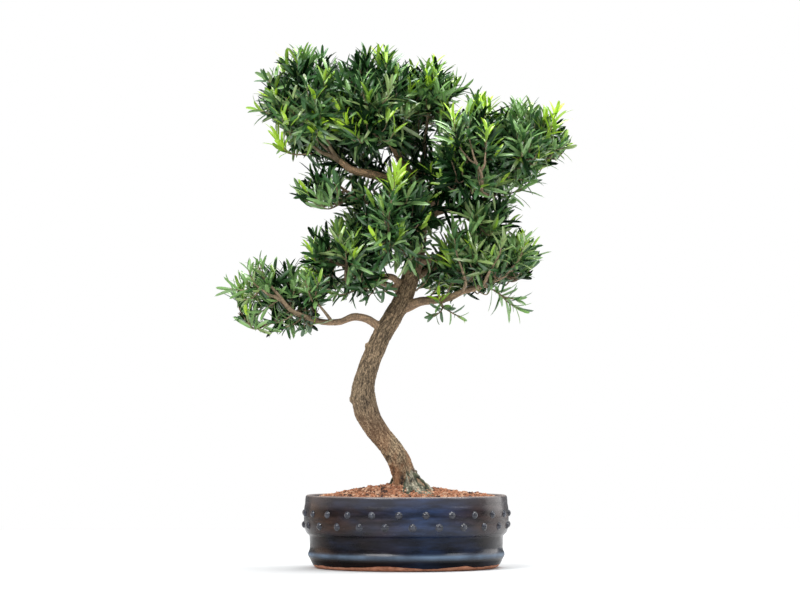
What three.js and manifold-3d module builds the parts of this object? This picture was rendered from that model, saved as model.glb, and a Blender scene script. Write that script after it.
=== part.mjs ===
// A podocarpus bonsai in a round drum pot: a leaning, bent trunk with a root flare, boughs that carry
// pads of narrow strap-shaped leaves, a mound of clay granules, and a glazed pot with two rows of studs.
// Millimetres, +Z up. The origin is the centre of the pot's flat underside; the front faces -Y.

import * as THREE from 'three';
import { mergeVertices } from 'three/addons/utils/BufferGeometryUtils.js';
import Module from 'manifold-3d';

const wasm = await Module();
wasm.setup();

// ---------------------------------------------------------------------------------------------------
// Driving dimensions
// ---------------------------------------------------------------------------------------------------

const GAP = 0.3; // clearance between neighbouring pieces
const GOLDEN_ANGLE = Math.PI * (3 - Math.sqrt(5));

// Pot: radii and heights of its turned outline
const POT_FACETS = 36;
const POT_HEIGHT = 92;
const POT_FOOT_RADIUS = 114;
const POT_RIDGE_RADIUS = 125;
const POT_WAIST_RADIUS = 123;
const POT_BELLY_RADIUS = 130;
const POT_LIP_RADIUS = 124;
const POT_FLOOR = 14; // thickness of the floor
const POT_SHOULDER = 84; // where the inside turns into the lip
const POT_MOUTH_RADIUS = 120; // inner radius at the shoulder
const POT_INNER_FOOT_RADIUS = 113; // inner radius at the floor
const STUDS_PER_ROW = 24;
const STUD_ROWS = [
  { height: 69, turn: 10.7 }, // turn in degrees, from the front
  { height: 54.5, turn: 3.2 },
];
const STUD_SIDES = 5;
const STUD_RADIUS = 4.6;
const STUD_PROUD = 3; // how far a stud stands out of the belly
const STUD_SINK = 1.5; // how far its base is sunk into the wall
const DRAIN_HOLES = 3;
const DRAIN_RADIUS = 9;
const DRAIN_CIRCLE = 58; // radius of the circle that the drain holes lie on

// Soil: a mound with a heap beside the trunk, a hollow before it, and lumps of granules all over
const SOIL_EDGE = 86; // where the mound meets the pot
const SOIL_TOP = 101.5; // height of the mound in the middle
const SOIL_DROP = 10.5; // how much lower it is at a radius of SOIL_SPAN
const SOIL_SPAN = 100;
const SOIL_RINGS = 11;
const HEAPS = [ // rows of [x, y, height, width]; a hollow has a height below 0
  [-25, 4, 4, 30],
  [34, -62, -3, 34],
];
const LUMP_HEIGHT = 1.4; // how far the granules' lumps rise above the mound and sink below it
const LUMP_SPACING = [24, 21]; // from lump to lump along x and y
const GROUND = 92; // level of the trunk's flat cut

// Trunk and boughs: rows of [x, y, z, radius] along each centre line
const TRUNK_SIDES = 10;
const TRUNK_STEPS = 22;
const TRUNK_LINE = [
  [4, 2, 84, 17],
  [0, 0, 106, 15.5],
  [-9, -2, 134, 14.6],
  [-22, -4, 154, 13.4],
  [-38, -6, 175, 13.8],
  [-50, -8, 196, 15],
  [-55, -8, 219, 15.6],
  [-53, -7, 238, 13.4],
  [-46, -5, 260, 12.2],
  [-30, -1, 297, 12.2],
  [-6, 3, 338, 11.7],
  [8, 6, 379, 11.2],
  [16, 8, 420, 9.8],
  [16, 9, 450, 8.8],
  [13, 10, 472, 8],
];
const ROOT_SIDES = 5;
const ROOT_STEPS = 3;
const ROOT_LINES = [
  [[4, -6, 122, 7], [13, -13, 109, 6.2], [26, -20, 99, 5.2], [36, -26, 88, 4]], // to the right
  [[2, -8, 124, 6], [5, -15, 106, 5.5], [8, -22, 94, 4.5], [9, -25, 84, 4]], // to the front
  [[-6, 2, 122, 7], [-14, 8, 104, 6.5], [-22, 15, 94, 5], [-26, 18, 84, 4]], // to the back left
  [[4, 6, 122, 7], [12, 15, 104, 6], [20, 24, 94, 5], [24, 28, 84, 4]], // to the back right
];
const KNOTS = [
  [-67, -8, 214, 5],
  [-50, -4, 281, 5],
  [-11, 2, 357, 5.5],
  [-18, -8, 134, 6],
];

const BOUGH_SIDES = 6;
const BOUGH_STEPS = 5;
const BOUGHS = {
  top_centre: [[13, 10, 470, 7.4], [6, 4, 496, 6], [-8, -8, 520, 5], [-20, -20, 541, 4]],
  top_left: [
    [11, 10, 462, 7], [-8, 4, 484, 6.4], [-31, -6, 496, 5.8], [-51, -14, 501, 5.2], [-69, -20, 505, 4.6],
    [-86, -25, 517, 3.6],
  ],
  top_right: [[13, 10, 470, 6], [19, 4, 494, 5], [22, -5, 524, 3.8]],
  top_back_left: [[14, 10, 458, 6], [-4, 34, 482, 5], [-32, 60, 506, 4], [-54, 72, 524, 3.2]],
  top_back_right: [[13, 10, 468, 6], [14, 34, 490, 5], [13, 66, 524, 3.6]],
  right_inner: [[12, 10, 458, 6.5], [35, 0, 474, 5.2], [56, -14, 482, 4.4], [69, -25, 490, 3.8]],
  right_outer: [
    [15, 9, 444, 6], [43, -2, 454, 5], [74, -8, 460, 4.2], [97, -12, 466, 3.6], [111, -14, 477, 3.2],
  ],
  right_back: [[15, 9, 452, 6], [38, 34, 468, 5], [65, 64, 486, 4]],
  mid_left: [[16, 9, 436, 4.6], [-2, 0, 446, 3.8], [-18, -5, 451, 3.2], [-33, -10, 456, 2.8]],
  front: [[14, 8, 410, 4.8], [3, -16, 407, 3.8], [-9, -38, 407, 3]],
  mid_back: [[16, 8, 418, 4.8], [13, 26, 426, 3.8], [8, 43, 433, 3.2]],
  right_mid: [[10, 7, 384, 5], [30, -2, 391, 4], [50, -8, 396, 3.4], [67, -12, 405, 2.9]],
  right_low: [
    [-2, 2, 330, 7], [18, -2, 338, 5.8], [38, -6, 340, 5], [56, -10, 343, 4.5], [71, -13, 350, 4],
    [86, -15, 354, 3.6], [99, -16, 358, 3.2],
  ],
  right_low_back: [[8, 6, 366, 5], [26, 24, 378, 4], [42, 42, 386, 3.2]],
  left_mid: [
    [-2, 4, 353, 5.4], [-12, 0, 365, 4.6], [-22, -6, 370, 4.1], [-35, -12, 367, 3.7], [-48, -16, 359, 3.3],
    [-62, -18, 354, 3],
  ],
  left_back: [[0, 4, 346, 5.2], [-18, 28, 358, 4.2], [-42, 54, 368, 3.4]],
  left_low: [
    [-28, -1, 302, 6.6], [-39, -4, 309, 5.6], [-51, -8, 316, 5], [-67, -12, 318, 4.8], [-83, -16, 312, 4.2],
    [-102, -19, 311, 3.9], [-118, -20, 314, 3.6],
  ],
  sprig_centre: [[42, -7, 340, 2.6], [45, -11, 333, 2.2], [50, -14, 328, 1.8]],
};

// Foliage: each pad keeps to an ellipsoid of its own. Its stem grows on from the tip of the bough of the
// same name, or of `bough`, moved up on that tip by `lift`. A dense pad has a `core`, which is the share of
// the ellipsoid that its inner leaves fill, and a loose pad a small one. A shoot points in each direction of
// `tips`, and the others spread evenly.
const FOLIAGE = {
  top_left: { centre: [-128, -30, 590], radii: [64, 70, 84], core: 0.5, tips: [[0, 0, 1], [-1, 0, 0.2]] },
  top_centre: { centre: [-42, -46, 586], radii: [78, 68, 86], core: 0.5, tips: [[0.2, 0, 1]] },
  top_right: { centre: [28, -30, 586], radii: [56, 66, 70], core: 0.5 },
  top_back_left: { centre: [-92, 70, 584], radii: [74, 62, 72], core: 0.5 },
  top_back_right: { centre: [6, 76, 582], radii: [76, 60, 68], core: 0.5 },
  right_inner: { centre: [82, -48, 526], radii: [64, 64, 88], core: 0.5 },
  right_outer: { centre: [148, -22, 546], radii: [64, 66, 62], core: 0.5, tips: [[1, 0, 0.15]] },
  right_back: { centre: [102, 72, 536], radii: [76, 60, 60], core: 0.5 },
  mid_left: { centre: [-86, -28, 490], radii: [66, 54, 40], core: 0.35 },
  front: { centre: [-14, -64, 440], radii: [52, 54, 86], core: 0.35 },
  mid_back: { centre: [-16, 66, 456], radii: [80, 50, 46], core: 0.35 },
  right_mid: { centre: [86, -30, 456], radii: [64, 54, 42], core: 0.35 },
  right_low: { centre: [104, -20, 400], radii: [76, 58, 52], core: 0.5, lift: 1.4 },
  right_low_back: { centre: [66, 56, 388], radii: [62, 50, 52], core: 0.35 },
  left_mid: { centre: [-76, -26, 400], radii: [66, 54, 62], core: 0.35 },
  left_back: { centre: [-82, 66, 392], radii: [62, 46, 48], core: 0.35 },
  left_low: { centre: [-160, -22, 346], radii: [78, 60, 54], core: 0.35, tips: [[-1, 0, 0.2]] },
  sprig_centre: { centre: [50, -18, 330], radii: [32, 28, 28] },
  sprig_right: { bough: 'right_low', centre: [146, -24, 332], radii: [30, 26, 28], lift: -1.4 },
};
const FIRST_SEED = 100;
const STEM_RADIUS = 1.8;
const STEM_OVERLAP = 2; // how far back a pad's stem starts in its bough's tip, before it is cut clear
const DENSE_FORK = 0.85; // share of a dense pad's stem at which its twigs start to leave it
const OPEN_FORK = 0.4; // the same in an open pad
const STEM_SINK = 0.15; // how far below its centre a pad's heart lies, as a share of its height
const STEM_BEND = [0.4, 0.3]; // how far a stem runs straight on, and how far that point moves to the heart
const TAPER = [1.1, 0.9, 0.7]; // radius at the start, middle and end of a stem or twig, as a share of its own
const TWIG_RADIUS = 1.2;
const TWIG_STEPS = 2;
const TWIG_RISE = 0.2; // how much a twig turns up towards its end
const TWIG_SAG = 0.1; // how far its middle hangs below a straight line, as a share of its length
const SHOOT_AREA = 4000; // area of a pad's skin that is given to one shoot, in mm2
const CORE_UNEVEN = [0.78, 1.2]; // least and greatest reach of a core's corners, as shares of its size
const CORE_COVER = 0.25; // least distance from a core to the tips of its pad's leaves, as a share of the pad
const CORE_CLEAR = 1.1; // a core's corner is drawn in until a point this much further out is free too
const LOWEST_SHOOT = -0.7; // height on a pad of radius 1 below which no shoots grow
const LEAVES_PER_SHOOT = 6;
const TUFT = [0.5, 0.96]; // where along a twig its first and last leaf have their roots
const TUFT_REACH = 0.97; // how far the last leaf stands out beyond its twig, as a share of its length
const OPENING = { first: 62, step: 10, spread: 10 }; // angle of the leaves to their twig, in degrees
const LEAF_SIZES = [0.9, 0.98]; // least and greatest length of a leaf, as shares of the full length
const LEAF_LENGTH = 52;
const LEAF_SHARE = 1.15; // greatest length of a leaf, as a share of its pad's smallest radius
const LEAF_WIDTH = 15;
const LEAF_THICKNESS = 1.3;
const LEAF_WIDEST = 0.45; // where a leaf is widest, as a share of its length
const LEAF_CURL = 0.06; // how far a leaf's tip bends back, as a share of its length
const LEAF_SPACING = 10; // least distance between the middles of two leaves
const FINEST = 0.2; // facets finer than this are merged
const SPACE_MARGIN = 0.8; // a leaf stays this far inside its pad's own space
const LIMB_MARGIN = 1.2; // and this far clear of trunk and boughs
const SAMPLE_STEP = 3; // limbs are tested at points this far apart

// ---------------------------------------------------------------------------------------------------
// Helpers
// ---------------------------------------------------------------------------------------------------

const vector = ([x, y, z]) => new THREE.Vector3(x, y, z);

function seededRandom(seed) {
  let state = seed >>> 0;
  return () => {
    state = (state + 0x6d2b79f5) >>> 0;
    let mixed = Math.imul(state ^ (state >>> 15), state | 1);
    mixed ^= mixed + Math.imul(mixed ^ (mixed >>> 7), mixed | 61);
    return ((mixed ^ (mixed >>> 14)) >>> 0) / 4294967296;
  };
}

function solidOf(geometry) {
  const bare = geometry.clone();
  bare.deleteAttribute('normal');
  bare.deleteAttribute('uv');
  const merged = mergeVertices(bare, 1e-4);
  return new wasm.Manifold(
    new wasm.Mesh({
      numProp: 3,
      vertProperties: new Float32Array(merged.attributes.position.array),
      triVerts: new Uint32Array(merged.index.array),
    }),
  );
}

function geometryOf(solid) {
  const { numProp, vertProperties, triVerts } = solid.getMesh();
  const count = vertProperties.length / numProp;
  const positions = new Float32Array(count * 3);
  for (let i = 0; i < count; i++) {
    positions.set(vertProperties.subarray(i * numProp, i * numProp + 3), i * 3);
  }
  const geometry = new THREE.BufferGeometry();
  geometry.setAttribute('position', new THREE.BufferAttribute(positions, 3));
  geometry.setIndex(new THREE.BufferAttribute(new Uint32Array(triVerts), 1));
  geometry.computeVertexNormals();
  return geometry;
}

const union = (solids) => solids.reduce((sum, solid) => sum.add(solid));

function largestBody(solid) {
  const bodies = solid.decompose();
  return bodies.reduce((best, body) => (body.volume() > best.volume() ? body : best));
}

// A limb's centre line: a smooth curve through rows of [x, y, z, radius], and its radius along that.
function centreLine(rows) {
  const curve = new THREE.CatmullRomCurve3(rows.map(vector));
  const radiusAt = (share) => {
    const along = curve.getUtoTmapping(share) * (rows.length - 1);
    const row = Math.min(Math.floor(along), rows.length - 2);
    return THREE.MathUtils.lerp(rows[row][3], rows[row + 1][3], along - row);
  };
  return { curve, radiusAt };
}

// A tapering limb closed by a flat end each way; `grow` makes it larger all round, ends included.
function limbGeometry(rows, sides, steps, grow = 0) {
  const { curve, radiusAt } = centreLine(rows);
  const frames = curve.computeFrenetFrames(steps, false);
  const positions = [];
  for (let i = 0; i <= steps; i++) {
    const centre = curve.getPointAt(i / steps);
    if (i === 0) centre.addScaledVector(frames.tangents[i], -grow);
    if (i === steps) centre.addScaledVector(frames.tangents[i], grow);
    const radius = radiusAt(i / steps) + grow;
    for (let j = 0; j < sides; j++) {
      const angle = (j / sides) * 2 * Math.PI;
      const corner = centre
        .clone()
        .addScaledVector(frames.normals[i], radius * Math.cos(angle))
        .addScaledVector(frames.binormals[i], radius * Math.sin(angle));
      positions.push(corner.x, corner.y, corner.z);
    }
  }
  const faces = [];
  for (let i = 0; i < steps; i++) {
    for (let j = 0; j < sides; j++) {
      const next = (j + 1) % sides;
      const [a, b, c, d] = [i * sides + j, i * sides + next, (i + 1) * sides + j, (i + 1) * sides + next];
      faces.push(a, b, c, b, d, c);
    }
  }
  const last = steps * sides;
  for (let j = 1; j < sides - 1; j++) {
    faces.push(0, j + 1, j, last, last + j, last + j + 1);
  }
  const geometry = new THREE.BufferGeometry();
  geometry.setAttribute('position', new THREE.Float32BufferAttribute(positions, 3));
  geometry.setIndex(faces);
  return geometry;
}

const limb = (...shape) => solidOf(limbGeometry(...shape));

// Points every few millimetres along a limb, each with its radius, to keep leaves clear of it.
function limbSamples(rows) {
  const { curve, radiusAt } = centreLine(rows);
  const count = Math.ceil(curve.getLength() / SAMPLE_STEP);
  return Array.from({ length: count + 1 }, (_, i) => ({
    point: curve.getPointAt(i / count),
    radius: radiusAt(i / count),
  }));
}

const material = (color, roughness, metalness = 0) =>
  new THREE.MeshStandardMaterial({ color, roughness, metalness });

const MATERIALS = {
  glaze: material(0x262b36, 0.18),
  granules: material(0x9c5638, 0.95),
  bark: material(0x74614b, 0.9),
  leaf: material(0x2f5a24, 0.4),
};

const plant = new THREE.Group();

function addNode(name, solid, finish) {
  const mesh = new THREE.Mesh(geometryOf(solid), finish);
  mesh.name = name;
  plant.add(mesh);
}

// ---------------------------------------------------------------------------------------------------
// Pot and soil
// ---------------------------------------------------------------------------------------------------

// A body of revolution about +Z from rows of [radius, height] that start and end on the axis.
function turned(profile) {
  const points = profile.map(([radius, height]) => new THREE.Vector2(radius, height));
  return solidOf(new THREE.LatheGeometry(points, POT_FACETS).rotateX(Math.PI / 2));
}

function potSolid() {
  const body = turned([
    [0, 0],
    [POT_FOOT_RADIUS, 0],
    [POT_FOOT_RADIUS + 4, 2],
    [POT_FOOT_RADIUS + 7.5, 8],
    [POT_RIDGE_RADIUS, 15],
    [POT_RIDGE_RADIUS, 19],
    [POT_WAIST_RADIUS, 24],
    [POT_WAIST_RADIUS, 40],
    [POT_BELLY_RADIUS - 2.5, 45],
    [POT_BELLY_RADIUS, 50],
    [POT_BELLY_RADIUS, 74],
    [POT_BELLY_RADIUS - 2, POT_HEIGHT - 1.5],
    [POT_LIP_RADIUS, POT_HEIGHT],
    [POT_MOUTH_RADIUS + 1, POT_HEIGHT - 1.5],
    [POT_MOUTH_RADIUS, POT_SHOULDER],
    [POT_INNER_FOOT_RADIUS, POT_FLOOR],
    [0, POT_FLOOR],
  ]);
  return cutDrainHoles(union([body, ...studs()]));
}

function studs() {
  const [foot, top] = [1.1 * STUD_RADIUS, 0.6 * STUD_RADIUS];
  const outline = [[0, -STUD_SINK], [foot, -STUD_SINK], [top, STUD_PROUD], [0, STUD_PROUD]];
  const points = outline.map(([radius, height]) => new THREE.Vector2(radius, height));
  return STUD_ROWS.flatMap(({ height, turn }) =>
    Array.from({ length: STUDS_PER_ROW }, (_, i) => {
      const stud = new THREE.LatheGeometry(points, STUD_SIDES).rotateX(-Math.PI / 2).rotateX(Math.PI);
      stud.translate(0, -POT_BELLY_RADIUS, height);
      return solidOf(stud.rotateZ(THREE.MathUtils.degToRad(turn + (360 * i) / STUDS_PER_ROW)));
    }),
  );
}

function cutDrainHoles(pot) {
  let cut = pot;
  for (let i = 0; i < DRAIN_HOLES; i++) {
    const hole = new THREE.CylinderGeometry(DRAIN_RADIUS, DRAIN_RADIUS, 2 * POT_FLOOR, 12);
    hole.rotateX(Math.PI / 2).translate(0, DRAIN_CIRCLE, POT_FLOOR / 2);
    hole.rotateZ((2 * Math.PI * i) / DRAIN_HOLES);
    cut = cut.subtract(solidOf(hole));
  }
  return cut;
}

// Radius of the pot's inside at a height between its floor and its shoulder.
function innerRadius(height) {
  const up = (height - POT_FLOOR) / (POT_SHOULDER - POT_FLOOR);
  return THREE.MathUtils.lerp(POT_INNER_FOOT_RADIUS, POT_MOUTH_RADIUS, up);
}

function soilSolid(trunkSpace) {
  const profile = [
    [0, POT_FLOOR + GAP],
    [innerRadius(POT_FLOOR + GAP) - GAP, POT_FLOOR + GAP],
    [POT_MOUTH_RADIUS - GAP, POT_SHOULDER],
    [POT_MOUTH_RADIUS - GAP, SOIL_EDGE],
  ];
  for (let ring = SOIL_RINGS; ring >= 0; ring--) {
    const radius = (ring * SOIL_SPAN) / (SOIL_RINGS - 1);
    profile.push([radius, SOIL_TOP - SOIL_DROP * (radius / SOIL_SPAN) ** 1.5]);
  }
  return turned(profile).warp(raiseLumps).subtract(trunkSpace);
}

// Moves a point of the mound up or down, by its heaps and hollows and by the lumps on it.
function raiseLumps(point) {
  const [x, y, z] = point;
  if (z <= SOIL_EDGE) return;
  for (const [heapX, heapY, height, width] of HEAPS) {
    point[2] += height * Math.exp(-((x - heapX) ** 2 + (y - heapY) ** 2) / (2 * width ** 2));
  }
  const [alongX, alongY] = LUMP_SPACING.map((spacing) => (2 * Math.PI) / spacing);
  point[2] += LUMP_HEIGHT * Math.sin(alongX * x + alongY * y) * Math.cos(alongY * y - alongX * x);
}

// ---------------------------------------------------------------------------------------------------
// Trunk and boughs
// ---------------------------------------------------------------------------------------------------

// Trunk, root flare and knots in one, cut flat at `level`, with every radius larger by `grow`.
function trunkSolid(grow, level) {
  const width = 2 * POT_BELLY_RADIUS;
  const below = new THREE.BoxGeometry(width, width, level).translate(0, 0, level / 2);
  const knots = KNOTS.map(([x, y, z, radius]) =>
    solidOf(new THREE.SphereGeometry(radius + grow, 5, 4).translate(x, y, z)),
  );
  const roots = ROOT_LINES.map((rows) => limb(rows, ROOT_SIDES, ROOT_STEPS, grow));
  const whole = union([limb(TRUNK_LINE, TRUNK_SIDES, TRUNK_STEPS, grow), ...roots, ...knots]);
  return whole.subtract(solidOf(below));
}

// Each bough is cut clear of the trunk and of the boughs made before it.
function boughSolids(trunkSpace) {
  let taken = trunkSpace;
  const boughs = Object.entries(BOUGHS).map(([name, rows]) => {
    const solid = largestBody(limb(rows, BOUGH_SIDES, BOUGH_STEPS).subtract(taken));
    taken = taken.add(limb(rows, BOUGH_SIDES, BOUGH_STEPS, GAP));
    return [name, solid];
  });
  return { boughs, limbSpace: taken };
}

// ---------------------------------------------------------------------------------------------------
// Foliage
// ---------------------------------------------------------------------------------------------------

const LIMB_SAMPLES = [TRUNK_LINE, ...ROOT_LINES, ...Object.values(BOUGHS)].flatMap(limbSamples);

// How far out of a pad's centre a point lies, as a share of the pad's ellipsoid: 1 is on its skin.
function share(pad, point) {
  return point.clone().sub(vector(pad.centre)).divide(vector(pad.radii)).length();
}

// A point belongs to a pad if it is inside the pad's ellipsoid and deeper in it than in any other.
function inOwnSpace(pad, point) {
  const own = share(pad, point);
  if (own > 1.001) return false;
  return Object.values(FOLIAGE).every((other) => {
    const margin = SPACE_MARGIN * (1 / Math.min(...pad.radii) + 1 / Math.min(...other.radii));
    return other === pad || share(other, point) > own + margin;
  });
}

function clearOfLimbs(point, radius) {
  const margin = LIMB_MARGIN + radius;
  return LIMB_SAMPLES.every((sample) => sample.point.distanceTo(point) > sample.radius + margin);
}

const isFree = (pad, radius) => (point) => inOwnSpace(pad, point) && clearOfLimbs(point, radius);

// Corners of a leaf: a thin blade of four faces, its midrib above its edges and its tip bent back a little.
function leafCorners(root, direction, facing, length) {
  const side = new THREE.Vector3().crossVectors(direction, facing).normalize();
  const up = new THREE.Vector3().crossVectors(side, direction).normalize();
  const middle = root.clone().addScaledVector(direction, LEAF_WIDEST * length);
  middle.addScaledVector(up, -LEAF_CURL * LEAF_WIDEST * length - LEAF_THICKNESS);
  return {
    root,
    tip: root.clone().addScaledVector(direction, length).addScaledVector(up, -LEAF_CURL * length),
    left: middle.clone().addScaledVector(side, -LEAF_WIDTH / 2),
    right: middle.clone().addScaledVector(side, LEAF_WIDTH / 2),
  };
}

// A leaf fits if it keeps to its pad's space and apart from the leaves in `taken`, and stands out of a core.
function leafFits(pad, corners, taken) {
  if (pad.core && share(pad, corners.tip) < pad.core + CORE_COVER) return false;
  const along = [0.5, 0.75, 1].map((part) => corners.root.clone().lerp(corners.tip, part));
  const apart = (point) => taken.every((other) => other.distanceTo(point) > LEAF_SPACING);
  const fits = [...along, corners.left, corners.right].every(isFree(pad, 0));
  if (!fits || !along.every(apart)) return false;
  taken.push(...along);
  return true;
}

function leafSolid({ root, tip, left, right }) {
  const geometry = new THREE.BufferGeometry().setFromPoints([root, tip, left, right]);
  geometry.setIndex([0, 1, 2, 0, 3, 1, 0, 2, 3, 1, 3, 2]);
  return solidOf(geometry);
}

// The stem of a pad: it grows on from its bough's tip to the pad's heart.
function stemRows(name, pad) {
  const rows = BOUGHS[pad.bough ?? name];
  const [before, end] = rows.slice(-2).map(vector);
  const heading = end.clone().sub(before).normalize();
  const start = end.clone().addScaledVector(heading, -STEM_OVERLAP);
  start.z += pad.lift ?? 0;
  const heart = vector(pad.centre);
  heart.z -= STEM_SINK * pad.radii[2];
  const [straight, turn] = STEM_BEND;
  const middle = start.clone().addScaledVector(heading, straight * start.distanceTo(heart)).lerp(heart, turn);
  return tapering([start, middle, heart], STEM_RADIUS);
}

const tapering = (points, radius) => points.map((point, i) => [...point.toArray(), TAPER[i] * radius]);

// Directions that spread evenly over a ball however many are taken, with none near its bottom.
function shootDirection(index, turn) {
  const fraction = (step) => (0.5 + index * step) % 1;
  const height = THREE.MathUtils.lerp(1, LOWEST_SHOOT, fraction(0.7549));
  const ring = Math.sqrt(1 - height * height);
  const angle = turn + 2 * Math.PI * fraction(0.5698);
  return new THREE.Vector3(ring * Math.cos(angle), ring * Math.sin(angle), height);
}

// Twigs leave the upper half of the stem, turn up and end in a tuft of leaves whose tip is at the skin.
function padSolid(name, seed, limbSpace) {
  const pad = FOLIAGE[name];
  const taken = [];
  const random = seededRandom(seed);
  const leafLength = Math.min(LEAF_LENGTH, LEAF_SHARE * Math.min(...pad.radii));
  const stem = stemRows(name, pad);
  const stemCurve = centreLine(stem).curve;
  const solids = [limb(stem, 4, 3)];
  if (pad.core) solids.push(coreSolid(pad, random));
  const meanRadius = Math.cbrt(pad.radii[0] * pad.radii[1] * pad.radii[2]);
  const places = Math.round((4 * Math.PI * meanRadius ** 2) / SHOOT_AREA);
  const turn = 2 * Math.PI * random();
  const directions = (pad.tips ?? []).map((tip) => vector(tip).normalize());
  for (let i = 0; i < places; i++) directions.push(shootDirection(i, turn));
  for (const out of directions) {
    const skin = vector(pad.centre).add(out.clone().multiply(vector(pad.radii)));
    const from = stemCurve.getPointAt(THREE.MathUtils.lerp(pad.core ? DENSE_FORK : OPEN_FORK, 1, random()));
    const heading = skin.clone().sub(from).normalize();
    heading.z += TWIG_RISE;
    heading.normalize();
    const tip = skin.clone().addScaledVector(heading, -TUFT_REACH * leafLength);
    const middle = from.clone().lerp(tip, 0.5);
    middle.z -= TWIG_SAG * from.distanceTo(tip);
    const rows = tapering([from, middle, tip], TWIG_RADIUS);
    const twig = centreLine(rows).curve;
    const path = [0.2, 0.4, 0.6, 0.8, 1].map((along) => twig.getPointAt(along));
    if (!path.every(isFree(pad, TWIG_RADIUS))) continue;
    const leaves = tuft(pad, twig, heading, leafLength, random, taken);
    if (leaves.length) solids.push(limb(rows, 3, TWIG_STEPS), ...leaves);
  }
  const grown = union(solids).asOriginal().simplify(FINEST);
  return largestBody(grown.subtract(limbSpace));
}

// Leaves in a spiral round the end of a twig: the first stand out widest, the last points onwards.
function tuft(pad, twig, heading, leafLength, random, taken) {
  const leaves = [];
  for (let i = 0; i < LEAVES_PER_SHOOT; i++) {
    const last = i === LEAVES_PER_SHOOT - 1;
    const along = THREE.MathUtils.lerp(...TUFT, i / (LEAVES_PER_SHOOT - 1));
    const across = new THREE.Vector3(0, 0, 1).cross(heading).normalize();
    across.applyAxisAngle(heading, i * GOLDEN_ANGLE + random());
    const degrees = last ? 0 : OPENING.first - OPENING.step * i + OPENING.spread * random();
    const opening = THREE.MathUtils.degToRad(degrees);
    const direction = heading.clone().multiplyScalar(Math.cos(opening));
    direction.addScaledVector(across, Math.sin(opening));
    const root = twig.getPointAt(along);
    const length = leafLength * THREE.MathUtils.lerp(...LEAF_SIZES, random());
    const corners = leafCorners(root, direction, last ? across : heading, length);
    if (leafFits(pad, corners, taken)) leaves.push(leafSolid(corners));
  }
  return leaves;
}

// The inner leaves of a dense pad, as one uneven ball inside its space that its shoots stand out of.
function coreSolid(pad, random) {
  const ball = new THREE.IcosahedronGeometry(1, 1);
  ball.deleteAttribute('normal');
  ball.deleteAttribute('uv');
  const merged = mergeVertices(ball, 1e-3);
  const position = merged.attributes.position;
  for (let i = 0; i < position.count; i++) {
    const out = new THREE.Vector3().fromBufferAttribute(position, i).multiply(vector(pad.radii));
    let reach = pad.core * THREE.MathUtils.lerp(...CORE_UNEVEN, random());
    while (!inOwnSpace(pad, vector(pad.centre).addScaledVector(out, CORE_CLEAR * reach))) reach *= 0.95;
    position.setXYZ(i, ...vector(pad.centre).addScaledVector(out, reach).toArray());
  }
  return solidOf(merged);
}

// ---------------------------------------------------------------------------------------------------
// Assembly
// ---------------------------------------------------------------------------------------------------

const trunkSpace = trunkSolid(GAP, GROUND - GAP);
const { boughs, limbSpace } = boughSolids(trunkSpace);

addNode('pot', potSolid(), MATERIALS.glaze);
addNode('soil', soilSolid(trunkSpace), MATERIALS.granules);
addNode('trunk', trunkSolid(0, GROUND), MATERIALS.bark);
for (const [name, solid] of boughs) addNode('bough_' + name, solid, MATERIALS.bark);
Object.keys(FOLIAGE).forEach((name, i) => {
  addNode('foliage_' + name, padSolid(name, FIRST_SEED + i, limbSpace), MATERIALS.leaf);
});

export default plant;
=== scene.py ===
# The looks of a podocarpus bonsai in a round glazed drum pot. Lengths are in millimetres until a mesh is
# made, +Z is up and the front faces -Y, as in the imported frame.
import itertools
import math

import bmesh
import bpy
import numpy as np
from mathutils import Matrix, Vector, bvhtree, kdtree, noise


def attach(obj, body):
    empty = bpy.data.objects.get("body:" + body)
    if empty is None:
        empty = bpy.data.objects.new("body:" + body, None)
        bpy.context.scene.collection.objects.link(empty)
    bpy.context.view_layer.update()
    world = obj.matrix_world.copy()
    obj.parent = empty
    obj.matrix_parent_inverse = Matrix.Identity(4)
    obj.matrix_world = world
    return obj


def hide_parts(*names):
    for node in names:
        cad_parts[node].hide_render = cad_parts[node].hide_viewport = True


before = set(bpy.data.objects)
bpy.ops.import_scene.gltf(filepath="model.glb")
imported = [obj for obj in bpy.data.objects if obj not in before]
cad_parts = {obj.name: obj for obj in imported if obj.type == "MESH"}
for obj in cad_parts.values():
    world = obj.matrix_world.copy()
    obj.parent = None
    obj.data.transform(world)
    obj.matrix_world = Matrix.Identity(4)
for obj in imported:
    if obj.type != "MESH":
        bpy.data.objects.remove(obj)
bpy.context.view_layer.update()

MM = 0.001
GOLDEN_ANGLE = math.pi * (3 - math.sqrt(5))
UP = np.array([0.0, 0.0, 1.0])

# ---- Sizes of the solids, as the part's source gives them ----

POT_BELLY = 130
POT_HEIGHT = 92
STUDS_PER_ROW = 24
STUD_ROWS = [(69, 10.7), (54.5, 3.2)]  # height, and turn in degrees from the front
STUD_RADIUS = 4.6
STUD_PROUD = 3
DRAIN_HOLES = 3
DRAIN_RADIUS = 9
DRAIN_CIRCLE = 58
POT_FACETS = 36
SOIL_WALL = [(0, 14.3), (112.7, 14.3), (119.7, 84), (119.7, 86)]
SOIL_TOP = 101.5
SOIL_DROP = 10.5
SOIL_SPAN = 100
SOIL_RINGS = 11
HEAPS = [(-25, 4, 4, 30), (34, -62, -3, 34)]
LUMP_HEIGHT = 1.4
LUMP_SPACING = (24, 21)
GROUND = 92

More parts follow.
